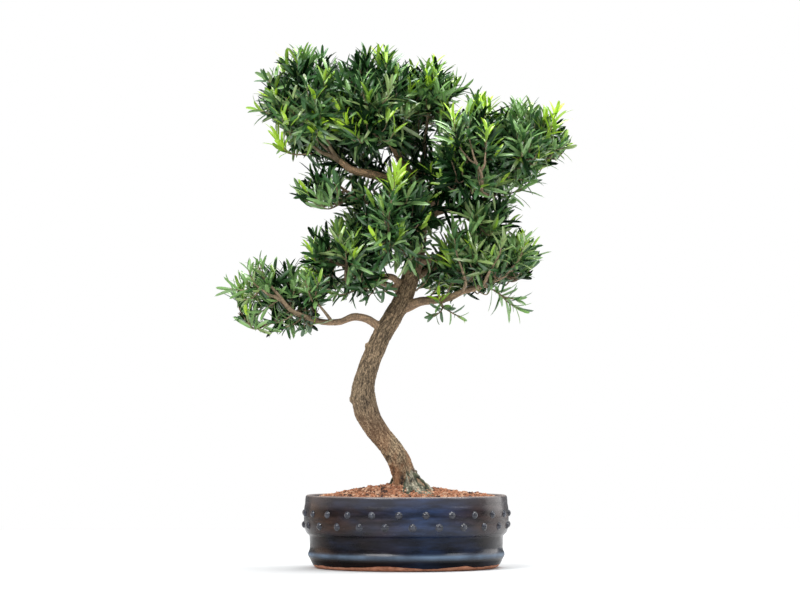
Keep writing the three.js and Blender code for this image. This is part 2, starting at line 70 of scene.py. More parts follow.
TRUNK_LINE = [
    [4, 2, 84, 17], [0, 0, 106, 15.5], [-9, -2, 134, 14.6], [-22, -4, 154, 13.4], [-38, -6, 175, 13.8],
    [-50, -8, 196, 15], [-55, -8, 219, 15.6], [-53, -7, 238, 13.4], [-46, -5, 260, 12.2],
    [-30, -1, 297, 12.2], [-6, 3, 338, 11.7], [8, 6, 379, 11.2], [16, 8, 420, 9.8], [16, 9, 450, 8.8],
    [13, 10, 472, 8],
]
ROOT_LINES = [
    [[4, -6, 122, 7], [13, -13, 109, 6.2], [26, -20, 99, 5.2], [36, -26, 88, 4]],
    [[2, -8, 124, 6], [5, -15, 106, 5.5], [8, -22, 94, 4.5], [9, -25, 84, 4]],
    [[-6, 2, 122, 7], [-14, 8, 104, 6.5], [-22, 15, 94, 5], [-26, 18, 84, 4]],
    [[4, 6, 122, 7], [12, 15, 104, 6], [20, 24, 94, 5], [24, 28, 84, 4]],
]
# The second knot is a little smaller here than in the source.
KNOTS = [[-67, -8, 214, 5], [-48.5, -4, 281, 4.4], [-11, 2, 357, 5.5], [-18, -8, 134, 6]]
BOUGHS = {
    "top_centre": [[13, 10, 470, 7.4], [6, 4, 496, 6], [-8, -8, 520, 5], [-20, -20, 541, 4]],
    "top_left": [
        [11, 10, 462, 7], [-8, 4, 484, 6.4], [-31, -6, 496, 5.8], [-51, -14, 501, 5.2],
        [-69, -20, 505, 4.6], [-86, -25, 517, 3.6],
    ],
    "top_right": [[13, 10, 470, 6], [19, 4, 494, 5], [22, -5, 524, 3.8]],
    "top_back_left": [[14, 10, 458, 6], [-4, 34, 482, 5], [-32, 60, 506, 4], [-54, 72, 524, 3.2]],
    "top_back_right": [[13, 10, 468, 6], [14, 34, 490, 5], [13, 66, 524, 3.6]],
    "right_inner": [[12, 10, 458, 6.5], [35, 0, 474, 5.2], [56, -14, 482, 4.4], [69, -25, 490, 3.8]],
    "right_outer": [
        [15, 9, 444, 6], [43, -2, 454, 5], [74, -8, 460, 4.2], [97, -12, 466, 3.6], [111, -14, 477, 3.2],
    ],
    "right_back": [[15, 9, 452, 6], [38, 34, 468, 5], [65, 64, 486, 4]],
    "mid_left": [[16, 9, 436, 4.6], [-2, 0, 446, 3.8], [-18, -5, 451, 3.2], [-33, -10, 456, 2.8]],
    "front": [[14, 8, 410, 4.8], [3, -16, 407, 3.8], [-9, -38, 407, 3]],
    "mid_back": [[16, 8, 418, 4.8], [13, 26, 426, 3.8], [8, 43, 433, 3.2]],
    "right_mid": [[10, 7, 384, 5], [30, -2, 391, 4], [50, -8, 396, 3.4], [67, -12, 405, 2.9]],
    "right_low": [
        [-2, 2, 330, 7], [18, -2, 338, 5.8], [38, -6, 340, 5], [56, -10, 343, 4.5], [71, -13, 350, 4],
        [86, -15, 354, 3.6], [99, -16, 358, 3.2],
    ],
    "right_low_back": [[8, 6, 366, 5], [26, 24, 378, 4], [42, 42, 386, 3.2]],
    "left_mid": [
        [-2, 4, 353, 5.4], [-12, 0, 365, 4.6], [-22, -6, 370, 4.1], [-35, -12, 367, 3.7],
        [-48, -16, 359, 3.3], [-62, -18, 354, 3],
    ],
    "left_back": [[0, 4, 346, 5.2], [-18, 28, 358, 4.2], [-42, 54, 368, 3.4]],
    "left_low": [
        [-28, -1, 302, 6.6], [-39, -4, 309, 5.6], [-51, -8, 316, 5], [-67, -12, 318, 4.8],
        [-83, -16, 312, 4.2], [-102, -19, 311, 3.9], [-118, -20, 314, 3.6],
    ],
    "sprig_centre": [[42, -7, 340, 2.6], [45, -11, 333, 2.2], [50, -14, 328, 1.8]],
}
# Each pad: centre and radii of its ellipsoid, and whether it is dense. It grows on the bough of its own name
# or of the name in CARRIERS, from as far above the tip as LIFTS says.
PADS = {
    "top_left": ((-128, -30, 590), (64, 70, 84), True),
    "top_centre": ((-42, -46, 586), (78, 68, 86), True),
    "top_right": ((28, -30, 586), (56, 66, 70), True),
    "top_back_left": ((-92, 70, 584), (74, 62, 72), True),
    "top_back_right": ((6, 76, 582), (76, 60, 68), True),
    "right_inner": ((82, -48, 526), (64, 64, 88), True),
    "right_outer": ((148, -22, 546), (64, 66, 62), True),
    "right_back": ((102, 72, 536), (76, 60, 60), True),
    "mid_left": ((-86, -28, 490), (66, 54, 40), False),
    "front": ((-14, -64, 440), (52, 54, 86), False),
    "mid_back": ((-16, 66, 456), (80, 50, 46), False),
    "right_mid": ((86, -30, 456), (64, 54, 42), False),
    "right_low": ((104, -20, 400), (76, 58, 52), True),
    "right_low_back": ((66, 56, 388), (62, 50, 52), False),
    "left_mid": ((-76, -26, 400), (66, 54, 62), False),
    "left_back": ((-82, 66, 392), (62, 46, 48), False),
    "left_low": ((-160, -22, 346), (78, 60, 54), False),
    "sprig_centre": ((50, -18, 330), (32, 28, 28), False),
    "sprig_right": ((146, -24, 332), (30, 26, 28), False),
}
CARRIERS = {"sprig_right": "right_low"}
LIFTS = {"right_low": 1.4, "sprig_right": -1.4}
PAD_CENTRES = np.array([centre for centre, _, _ in PADS.values()], float)
PAD_RADII = np.array([radii for _, radii, _ in PADS.values()], float)
FOLIAGE_NODES = ["foliage_" + name for name in PADS]
LIMB_NODES = ["trunk"] + ["bough_" + name for name in BOUGHS]

# ---- Geometry helpers ----


def unit(vectors):
    return vectors / np.linalg.norm(vectors, axis=-1, keepdims=True)


def seeded_random(seed):
    """The source's own generator, by which the shoots of a dense pad have the same turn as there."""
    state = seed

    def draw():
        nonlocal state
        state = (state + 0x6D2B79F5) & 0xFFFFFFFF
        mixed = ((state ^ (state >> 15)) * (state | 1)) & 0xFFFFFFFF
        mixed ^= (mixed + ((mixed ^ (mixed >> 7)) * (mixed | 61))) & 0xFFFFFFFF
        return (mixed ^ (mixed >> 14)) / 4294967296

    return draw


def centre_line(rows, step):
    """Points `step` apart on the smooth curve through rows of x, y, z, radius, and their radii."""
    rows = np.array(rows, float)
    knots = np.vstack([2 * rows[0] - rows[1], rows, 2 * rows[-1] - rows[-2]])[:, :3]
    gaps = np.sqrt(np.linalg.norm(np.diff(knots, axis=0), axis=1))[:, None]
    slopes = np.diff(knots, axis=0) / gaps
    slopes = slopes[:-1] - (knots[2:] - knots[:-2]) / (gaps[:-1] + gaps[1:]) + slopes[1:]
    shares = np.linspace(0, 1, 25)[:, None]
    pieces = []
    for i, (start, end) in enumerate(zip(rows, rows[1:])):
        part = shares if i == len(rows) - 2 else shares[:-1]
        leave, arrive = slopes[i] * gaps[i + 1], slopes[i + 1] * gaps[i + 1]
        move = (end - start)[:3]
        square, cube = 3 * move - 2 * leave - arrive, -2 * move + leave + arrive
        curve = start[:3] + leave * part + square * part**2 + cube * part**3
        pieces.append(np.column_stack([curve, start[3] + (end[3] - start[3]) * part]))
    points = np.vstack(pieces)
    along = np.concatenate([[0], np.cumsum(np.linalg.norm(np.diff(points[:, :3], axis=0), axis=1))])
    stations = np.linspace(0, along[-1], max(3, math.ceil(along[-1] / step) + 1))
    *path, radii = (np.interp(stations, along, column) for column in points.T)
    return np.column_stack(path), radii


def frames_along(path):
    """Tangent and two normals at each point of a path, carried along without twist."""
    tangents = unit(np.gradient(path, axis=0))
    side = np.cross(tangents[0], [0.0, 1.0, 0.0])
    normals = [unit(side if np.linalg.norm(side) > 0.1 else np.cross(tangents[0], [1.0, 0.0, 0.0]))]
    for tangent in tangents[1:]:
        carried = normals[-1] - tangent * np.dot(normals[-1], tangent)
        normals.append(unit(carried))
    normals = np.array(normals)
    return tangents, normals, np.cross(tangents, normals)


def grid_faces(rows, sides):
    """Quads between `rows` closed rings of `sides` vertices."""
    row, column = np.indices((rows - 1, sides))
    near, far, following = row * sides, (row + 1) * sides, (column + 1) % sides
    return np.stack([near + column, near + following, far + following, far + column], axis=-1).reshape(-1, 4)


def tube(path, radii, sides):
    """A limb with rounded ends: vertices and quads."""
    last = len(path) - 1
    index = np.clip(np.arange(-2, last + 3), 0, last)  # two more rings at each end
    shift, scale = np.zeros(len(index)), np.ones(len(index))
    shift[[0, 1, -2, -1]] = -0.8, -0.55, 0.55, 0.8
    scale[[0, 1, -2, -1]] = 0, 0.7, 0.7, 0
    tangents, normals, binormals = (part[index] for part in frames_along(path))
    centres = path[index] + tangents * (shift * radii[index])[:, None]
    angles = np.arange(sides)[:, None] * 2 * math.pi / sides
    ring = np.cos(angles) * normals[:, None] + np.sin(angles) * binormals[:, None]
    vertices = centres[:, None] + ring * (scale * radii[index])[:, None, None]
    return vertices.reshape(-1, 3), grid_faces(len(index), sides)


def joined(parts):
    """Many (vertices, faces) pairs as one."""
    vertices, faces, start = [], [], 0
    for part_vertices, part_faces in parts:
        vertices.append(part_vertices)
        faces.append(part_faces + start)
        start += len(part_vertices)
    return np.vstack(vertices), np.vstack(faces)


def new_mesh(name, vertices, faces):
    """A mesh from faces that all have the same number of corners."""
    mesh = bpy.data.meshes.new(name)
    count, corners = faces.shape
    mesh.vertices.add(len(vertices))
    mesh.vertices.foreach_set("co", np.asarray(vertices, np.float32).ravel())
    mesh.loops.add(count * corners)
    mesh.loops.foreach_set("vertex_index", np.asarray(faces, np.int32).ravel())
    mesh.polygons.add(count)
    mesh.polygons.foreach_set("loop_start", np.arange(0, count * corners, corners, dtype=np.int32))
    mesh.update(calc_edges=True)
    return mesh


def add_piece(name, vertices, faces, finish, slot, nodes, smooth=True):
    """A piece of the plant that stands for CAD nodes, from vertices in millimetres."""
    mesh = new_mesh(name, np.asarray(vertices) * MM, faces)
    mesh.polygons.foreach_set("use_smooth", np.full(len(faces), smooth))
    mesh.materials.append(finish)
    piece = bpy.data.objects.new(name, mesh)
    bpy.context.scene.collection.objects.link(piece)
    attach(piece, "root")
    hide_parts(*nodes)
    return piece


def after_modifiers(vertices, faces, *modifiers):
    """Vertices, quads and vertex normals after modifiers, each a type and its settings."""
    scratch = bpy.data.objects.new("scratch", new_mesh("scratch", vertices, faces))
    bpy.context.scene.collection.objects.link(scratch)
    for kind, settings in modifiers:
        modifier = scratch.modifiers.new(kind, kind)
        for key, value in settings.items():
            setattr(modifier, key, value)
    shaped = scratch.evaluated_get(bpy.context.evaluated_depsgraph_get()).to_mesh()
    points, normals = np.empty((2, len(shaped.vertices) * 3), np.float32)
    shaped.vertices.foreach_get("co", points)
    shaped.vertex_normals.foreach_get("vector", normals)
    corners = np.empty(len(shaped.loops), np.int32)
    shaped.loops.foreach_get("vertex_index", corners)
    bpy.data.objects.remove(scratch)
    points, normals = (values.reshape(-1, 3).astype(float) for values in (points, normals))
    return points, corners.reshape(-1, 4), normals


def noise_at(points):
    return np.array([noise.noise(point) for point in points.tolist()])


def rounded(profile, radius, steps=4):
    """A profile with each corner rounded off over `radius` at most, its two ends kept."""
    points = np.array(profile, float)
    shares = np.linspace(0, 1, steps + 1)[:, None]
    rows = [points[:1]]
    for before, corner, after in zip(points, points[1:], points[2:]):
        back, forth = before - corner, after - corner
        start = corner + back * min(0.48, radius / np.linalg.norm(back))
        end = corner + forth * min(0.48, radius / np.linalg.norm(forth))
        rows.append((1 - shares) ** 2 * start + 2 * shares * (1 - shares) * corner + shares**2 * end)
    return np.vstack([*rows, points[-1:]])


def turned(profile, sides):
    """A surface of revolution about +Z from rows of radius and height."""
    angles = np.arange(sides) * 2 * math.pi / sides
    radius, height = np.asarray(profile, float).T[:, :, None]
    vertices = np.stack([radius * np.cos(angles), radius * np.sin(angles), height + 0 * angles], axis=-1)
    return vertices.reshape(-1, 3), grid_faces(len(profile), sides)


# ---- Finishes ----


def rgba(colour):
    """A colour, or a grey that is given as one number, with full alpha."""
    return (*colour, 1) if isinstance(colour, tuple) else (colour, colour, colour, 1)


class Finish:
    """A Principled material whose sockets can be driven by patterns in its piece."""

    def __init__(self, name, colour, roughness):
        self.material = bpy.data.materials.new(name)
        self.material.use_nodes = True
        self.nodes = self.material.node_tree.nodes
        self.links = self.material.node_tree.links
        self.shader = self.nodes["Principled BSDF"]
        self.drive("Base Color", colour)
        self.drive("Roughness", roughness)
        self.material.diffuse_color = rgba(colour)

    def give(self, socket, value):
        """Links a node's output to a socket, or sets the socket to a plain value."""
        if isinstance(value, bpy.types.NodeSocket):
            self.links.new(value, socket)
        else:
            socket.default_value = rgba(value) if socket.type == "RGBA" else value

    def drive(self, socket, value):
        self.give(self.shader.inputs[socket], value)

    def node(self, kind, **inputs):
        node = self.nodes.new("ShaderNode" + kind)
        for name, value in inputs.items():
            self.give(node.inputs[name.replace("_", " ")], value)
        return node

    def place(self, stretch=(1, 1, 1)):
        coordinates = self.node("TexCoord").outputs["Object"]
        return self.node("Mapping", Vector=coordinates, Scale=stretch).outputs["Vector"]

    def cloud(self, scale, detail, stretch=(1, 1, 1)):
        place = self.place(stretch)
        texture = self.node("TexNoise", Vector=place, Scale=scale, Detail=detail, Roughness=0.55)
        return texture.outputs["Fac"]

    def along(self, axis):
        """Place along an axis of the plant, in metres."""
        return self.node("SeparateXYZ", Vector=self.place()).outputs[axis]

    def attribute(self, name):
        node = self.node("Attribute")
        node.attribute_name = name
        return node.outputs["Fac"]

    def ramp(self, value, stops, low=0.0, high=1.0):
        """Colours or greys at places between low and high of a value."""
        span = self.node("MapRange", Value=value, From_Min=low, From_Max=high)
        node = self.node("ValToRGB", Fac=span.outputs["Result"])
        elements = node.color_ramp.elements
        while len(elements) < len(stops):
            elements.new(0.5)
        for element, (place, colour) in zip(elements, stops):
            element.position = place
            element.color = rgba(colour)
        return node.outputs["Color"]

    def mix(self, factor, first, second, way="MIX"):
        node = self.node("Mix")
        node.data_type = "RGBA"
        node.blend_type = way
        for index, value in ((0, factor), (6, first), (7, second)):  # the sockets for colours
            self.give(node.inputs[index], value)
        return node.outputs[2]

    def times(self, first, second):
        return self.mix(1.0, first, second, "MULTIPLY")

    def bump(self, scale, detail, distance, strength, stretch=(1, 1, 1)):
        height = self.cloud(scale, detail, stretch)
        node = self.node("Bump", Height=height, Distance=distance, Strength=strength)
        self.drive("Normal", node.outputs["Normal"])


def cloudy_finish(name, colour, roughness, cloud, stops, bump=None):
    """A finish whose colour follows a cloud of noise, with a bump where its numbers are given."""
    finish = Finish(name, colour, roughness)
    finish.drive("Base Color", finish.ramp(finish.cloud(*cloud), stops))
    if bump:
        finish.bump(*bump)
    return finish.material


def shades(colour, *stops):
    """Stops of a ramp from places and the shares of a colour there."""
    return [(place, tuple(share * part for part in colour)) for place, share in stops]


def glaze_finish():
    """Brown-black glaze with patches of blue, a painted reflection of blue on the middle of the pot, front
    and back, a painted highlight of pale blue on the ridge and beige where it is thin on the lip.
    """
    finish = Finish("glaze", (0.02, 0.022, 0.03), 0.22)
    across, height = finish.along("X"), finish.along("Z")
    brown = finish.ramp(
        finish.cloud(11, 3, (1, 1, 2)),
        [(0.38, (0.026, 0.011, 0.005)), (0.52, (0.015, 0.0105, 0.012)), (0.66, (0.015, 0.021, 0.045))],
    )
    blue = finish.ramp(
        finish.cloud(30, 3, (1, 1, 4)), [(0.3, (0.009, 0.014, 0.032)), (0.7, (0.019, 0.036, 0.088))]
    )
    # Painted reflection: blue over the middle of the pot, strongest just right of the centre, brown-black
    # towards the sides.
    front = finish.ramp(
        across, [(0.05, 0), (0.3, 0.1), (0.5, 0.7), (0.58, 1), (0.72, 0.6), (0.85, 0.1)], -0.13, 0.13
    )
    streaks = finish.ramp(finish.cloud(26, 3, (1, 1, 6)), [(0.35, 0.5), (0.65, 1.6)])
    foot = (0.36, 0.3, 0.26)
    low = finish.ramp(height, [(0, foot), (0.26, foot), (0.45, 0.5), (0.85, 0.5), (1, 1)], 0, 0.047)
    body = finish.times(finish.times(finish.mix(front, brown, blue), streaks), low)
    band = finish.ramp(height, [(0, 0), (0.5, 0.2), (1, 0.36)], 0.074, 0.085)
    # Painted highlight: a broken pale blue band along the ridge, which is also rougher there.
    ridge = finish.ramp(height, [(0, 0), (0.35, 0.55), (0.55, 0.75), (0.8, 0.12), (1, 0)], 0.0125, 0.0225)
    broken = finish.ramp(finish.cloud(20, 3, (1, 1, 0.4)), [(0.32, 0.25), (0.6, 1)])
    lip = finish.ramp(height, [(0, 0), (0.5, 0.25), (1, 1)], 0.0895, 0.0918)
    banded = finish.mix(band, body, (0.10, 0.095, 0.10))
    ridge_painted_highlight = finish.mix(finish.times(ridge, broken), banded, (0.16, 0.24, 0.35))
    finish.drive("Base Color", finish.mix(lip, ridge_painted_highlight, (0.33, 0.265, 0.24)))
    # The glaze shines least on the foot, the waist and the left.
    shine = [(0, 0.06), (0.2, 0.06), (0.26, 0.35), (0.48, 0.35), (0.53, 0.17), (0.86, 0.17), (0.92, 0.35)]
    sheen = finish.ramp(height, shine, 0, 0.05)
    left = finish.ramp(across, [(0, 0.35), (0.4, 0.45), (0.75, 1)], -0.13, -0.03)
    finish.drive("Specular IOR Level", finish.times(sheen, left))
    gloss = finish.ramp(finish.cloud(40, 3, (1, 1, 3)), [(0.3, 0.16), (0.7, 0.3)])
    finish.drive("Roughness", finish.mix(ridge, gloss, 0.55))
    finish.bump(45, 2, 0.0012, 0.25, (1, 1, 2))
    return finish.material


def clay_finish():
    stops = [(0.3, (0.30, 0.11, 0.055)), (0.55, (0.50, 0.21, 0.12)), (0.8, (0.62, 0.33, 0.21))]
    return cloudy_finish("bare_clay", (0.22, 0.09, 0.05), 0.9, (120, 5), stops, (900, 4, 0.0005, 0.5))


def stud_finish():
    stops = [(0.3, (0.015, 0.015, 0.019)), (0.55, (0.036, 0.039, 0.053)), (0.8, (0.085, 0.093, 0.12))]
    return cloudy_finish("glazed_studs", (0.05, 0.055, 0.07), 0.26, (120, 3), stops)


def bark_finish():
    """Grey-brown bark with painted light on the lower trunk, orange low on the left, mossy on the roots,
    redder and lighter on the slim limbs (their own bark, with painted light where the crown shades them), and
    painted light on the bare bough under the left of the dome.
    """
    finish = Finish("bark", (0.2, 0.15, 0.1), 0.88)
    across, height = finish.along("X"), finish.along("Z")
    shade = finish.ramp(
        finish.attribute("relief"),
        [(0, (0.02, 0.015, 0.01)), (0.4, (0.085, 0.064, 0.042)), (1, (0.275, 0.215, 0.148))],
    )
    patches = finish.ramp(
        finish.cloud(28, 4, (1, 1, 0.45)), [(0.35, (0.75, 0.72, 0.66)), (0.62, (1.18, 1.1, 1.0))]
    )
    specks = finish.ramp(finish.cloud(640, 3, (1, 1, 0.45)), [(0.38, 0.52), (0.5, 1), (0.64, 1.5)])
    aged = finish.times(finish.times(shade, patches), specks)
    # Painted light: the lower trunk is lighter, as if lit; the bark is darker in the middle and warmer above.
    light, dark, warm = (1.38, 1.37, 1.34), (0.89, 0.875, 0.85), (1.14, 1.05, 0.95)
    height_tone_and_painted_light = finish.ramp(height, [(0, light), (0.23, light), (0.35, dark), (0.58, dark), (1, warm)], 0.1, 0.36)
    low = finish.ramp(height, [(0, 1), (0.27, 0.7), (0.5, 0.4), (1, 0)], 0.095, 0.21)
    rust = finish.ramp(finish.cloud(34, 3, (1, 1, 0.5)), [(0.48, 0), (0.58, 0.62)])
    rusty = finish.mix(finish.times(low, rust), finish.times(aged, height_tone_and_painted_light), (0.38, 0.15, 0.06))
    right = finish.ramp(across, [(0, 0), (0.5, 0.8), (1, 1)], -0.004, 0.014)
    foot = finish.ramp(height, [(0, 1), (0.6, 0.8), (1, 0)], 0.1, 0.13)
    mossy = finish.mix(finish.times(right, foot), rusty, finish.times(shade, (0.3, 0.36, 0.3)))
    # Slim limbs are redder and lighter: partly their own bark, and partly painted light where they lie in the
    # crown's shade.
    slim = finish.ramp(finish.attribute("girth"), [(0, 0.9), (0.62, 0.7), (0.8, 0)])
    slim_bark_and_painted_light = finish.mix(0.45, finish.times(aged, (1.75, 1.48, 1.27)), (0.37, 0.265, 0.18))
    slimmed = finish.mix(slim, mossy, slim_bark_and_painted_light)
    # Painted light: the bare bough under the left of the dome, which lies in the dome's shade, is painted
    # lighter than the rest.
    high = finish.ramp(height, [(0, 0), (1, 1)], 0.474, 0.486)
    left = finish.ramp(across, [(0, 1), (0.7, 1), (1, 0)], -0.09, -0.005)
    bough_painted_light = finish.mix(finish.times(high, left), slimmed, finish.times(slimmed, (1.95, 1.85, 1.78)))
    finish.drive("Base Color", finish.mix(finish.attribute("stain"), bough_painted_light, (0.014, 0.008, 0.005)))
    finish.bump(700, 6, 0.0008, 0.8, (1, 1, 0.3))
    return finish.material


def string_finish(name, colour):
    """Thin roots, darker in places."""
    return cloudy_finish(name, colour, 0.85, (150, 5), shades(colour, (0.36, 0.25), (0.52, 1), (0.7, 1.3)))


def twig_finish():
    stops = [(0.3, (0.13, 0.09, 0.052)), (0.52, (0.27, 0.19, 0.115)), (0.75, (0.44, 0.335, 0.21))]
    return cloudy_finish("twig_bark", (0.16, 0.10, 0.06), 0.75, (300, 3), stops)


def soil_and_painted_shade_finish():
    # Painted shade: the fine soil under the granules is dark, partly its own colour and partly the shade in
    # the gaps between them.
    stops = [(0.3, (0.035, 0.016, 0.010)), (0.6, (0.12, 0.055, 0.03)), (0.8, (0.2, 0.1, 0.06))]
    return cloudy_finish("soil", (0.10, 0.045, 0.025), 0.95, (260, 5), stops, (420, 4, 0.002, 0.9))


def granule_finish(name, colour):
    stops = shades(colour, (0.3, 0.6), (0.55, 1), (0.8, 1.35))
    return cloudy_finish(name, colour, 0.95, (500, 4), stops, (1500, 4, 0.0004, 0.6))


# ---- Pot and soil ----

POT_SIDES = 192
POT_SKIN = [  # radius and height, from the middle of the underside round to the middle of the floor
    (0, 0), (60, 0), (114, 0), (117.8, 2), (121, 8), (123.6, 13), (125, 15.2), (125, 18.8), (123.4, 21.5),
    (122.8, 26), (123.2, 40.6), (125.2, 42.4), (127.2, 44), (129, 48.5), (130, 55), (130.2, 66), (129.9, 74),
    (129.4, 78), (128.7, 81), (128.5, 86), (127.9, 90.5), (126.2, 91.9), (124, 92), (121, 90.5), (120, 84),
    (113, 14), (0, 14),
]
FILLET = 1.6
CLAY_INSET = 0.35  # how far the clay lies under the glaze
GLAZE_EDGE = 4.6  # height where the glaze ends above the foot
GLAZE_WAVES = [(2.2, 2.4), (12, 0.7)]  # how closely and how far that edge wanders up and down
GLAZE_FLOW = (0.5, 24)  # heights between which the glaze follows its lower edge
GLAZE_ROWS = 24  # rings of points there
GLAZE_INNER_END = 82  # where the glaze ends inside the mouth
STUD_DOME = [  # radius as a share, and how proud of the belly, from foot to top
    (1.15, -0.4), (0.93, 0.3), (0.85, 1.1), (0.7, 1.9), (0.46, 2.6), (0.2, 2.95), (0, STUD_PROUD),
]
STUD_SIDES = 16
DRILL_ENDS = (-5, 20)  # heights between which the drain holes are cut
DRILL_SIDES = 32


def pot_pieces():
    skin = rounded(POT_SKIN, FILLET)
    outer = np.arange(len(skin)) <= skin[:, 1].argmax()
    side = np.where(outer, -CLAY_INSET, CLAY_INSET) * (skin[:, 0] > 1)
    core = np.column_stack([skin[:, 0] + side, np.minimum(skin[:, 1], POT_HEIGHT - CLAY_INSET)])
    clay = add_piece("pot_clay", *turned(core, POT_SIDES), clay_finish(), "glaze", ["pot"])
    cut_drain_holes(clay)
    add_piece("pot_glaze", *glaze_shell(skin, outer), glaze_finish(), "glaze", ["pot"])
    turns = np.arange(STUDS_PER_ROW) * 360 / STUDS_PER_ROW
    studs = joined([stud(height, first + turn) for height, first in STUD_ROWS for turn in turns])
    add_piece("pot_studs", *studs, stud_finish(), "glaze", ["pot"])


def glaze_shell(skin, outer):
    """The pot's skin from a wandering edge above the foot to inside the mouth."""
    lowest, highest = GLAZE_FLOW
    wall = skin[outer & (skin[:, 1] > 0)]
    heights = np.linspace(lowest, highest, GLAZE_ROWS)
    flow = np.column_stack([np.interp(heights, wall[:, 1], wall[:, 0]), heights])
    rows = np.vstack([flow, wall[wall[:, 1] > highest], skin[~outer & (skin[:, 1] > GLAZE_INNER_END)]])
    vertices, faces = turned(rows, POT_SIDES)
    angle = np.arctan2(vertices[:, 1], vertices[:, 0])
    circle = np.column_stack([np.cos(angle), np.sin(angle), 0 * angle])
    edge = GLAZE_EDGE
    for number, (closeness, rise) in enumerate(GLAZE_WAVES):
        edge = edge + rise * noise_at(closeness * circle + number * UP)
    height = edge + (highest - edge) * (vertices[:, 2] - lowest) / (highest - lowest)
    radius = np.interp(height, wall[:, 1], wall[:, 0])
    low = (vertices[:, 2] < highest) & (np.arange(len(vertices)) < GLAZE_ROWS * POT_SIDES)
    vertices[low] = (circle * radius[:, None] + UP * height[:, None])[low]
    return vertices, faces


def stud(height, turn):
    """A low dome on the belly, with a soft foot."""
    vertices, faces = turned([(STUD_RADIUS * share, rise) for share, rise in STUD_DOME], STUD_SIDES)
    x, z, proud = vertices.T
    y = -POT_BELLY - proud
    cos, sin = math.cos(math.radians(turn)), math.sin(math.radians(turn))
    return np.column_stack([x * cos - y * sin, x * sin + y * cos, z + height]), faces


def cut_drain_holes(piece):
    bottom, top = DRILL_ENDS
    rod, rod_faces = turned([(0, bottom), (DRAIN_RADIUS, bottom), (DRAIN_RADIUS, top), (0, top)], DRILL_SIDES)
    turns = [2 * math.pi * i / DRAIN_HOLES + math.pi / 2 for i in range(DRAIN_HOLES)]
    places = [(DRAIN_CIRCLE * math.cos(turn), DRAIN_CIRCLE * math.sin(turn), 0) for turn in turns]
    vertices, faces = joined([(rod + place, rod_faces) for place in places])
    drill = bpy.data.objects.new("drill", new_mesh("drill", vertices * MM, faces))
    bpy.context.scene.collection.objects.link(drill)
    for mesh in (drill.data, piece.data):
        clean(mesh)
    cut = piece.modifiers.new("holes", "BOOLEAN")
    cut.operation = "DIFFERENCE"
    cut.solver = "EXACT"
    cut.object = drill
    shaped = bpy.data.meshes.new_from_object(piece.evaluated_get(bpy.context.evaluated_depsgraph_get()))
    piece.modifiers.clear()
    piece.data = shaped
    bpy.data.objects.remove(drill)


def clean(mesh):
    """Merges the doubled vertices at the poles of a turned mesh and turns its faces outward."""
    work = bmesh.new()
    work.from_mesh(mesh)
    bmesh.ops.remove_doubles(work, verts=work.verts, dist=1e-6)
    bmesh.ops.recalc_face_normals(work, faces=work.faces)
    work.to_mesh(mesh)
    work.free()


SOIL_REACH = 117.5  # radius of the granules' bed
SOIL_SINK = 1.6  # how far the fine soil lies below the mound
GRANULES = 2500
GRANULE_RADIUS = 2.9
GRANULE_SIZES = [0.62, 0.74, 0.82, 0.9, 0.98, 1.06, 1.3]
GRANULE_AXES = (0.8, 1.12)  # least and most of each axis of a granule, as a share of its radius
GRANULE_CORNERS = (0.85, 1.12)  # and of each corner
GRANULE_HEIGHTS = (-1.9, -0.1)  # of its middle over the mound
GRANULE_STRAY = 0.8  # how far it strays from its even place
GRANULE_COLOURS = {
    "granules_red": (0.42, 0.18, 0.095),
    "granules_brown": (0.27, 0.115, 0.06),
    "granules_tan": (0.58, 0.34, 0.215),
    "granules_dark": (0.07, 0.035, 0.025),
}
GRANULE_SHARES = [0.35, 0.28, 0.27, 0.10]


def lumpy_mound():
    """The solid's faceted mound, which the granules lie on: its heap, its hollow and its lumps."""
    radii = np.arange(SOIL_RINGS, -1, -1) * SOIL_SPAN / (SOIL_RINGS - 1)
    heights = SOIL_TOP - SOIL_DROP * (radii / SOIL_SPAN) ** 1.5
    vertices, faces = turned([SOIL_WALL[-1], *zip(radii, heights)], POT_FACETS)
    x, y, z = vertices.T
    along_x, along_y = (2 * math.pi / spacing for spacing in LUMP_SPACING)
    rise = LUMP_HEIGHT * np.sin(along_x * x + along_y * y) * np.cos(along_y * y - along_x * x)
    for heap_x, heap_y, height, width in HEAPS:
        rise += height * np.exp(-((x - heap_x) ** 2 + (y - heap_y) ** 2) / (2 * width**2))
    vertices[:, 2] = np.where(z > SOIL_WALL[-1][1], z + rise, z)
    return vertices, faces


def level_at(surface, x, y):
    """Height of the mound above a point."""
    return surface.ray_cast((x, y, 2 * POT_HEIGHT), (0, 0, -1))[0].z


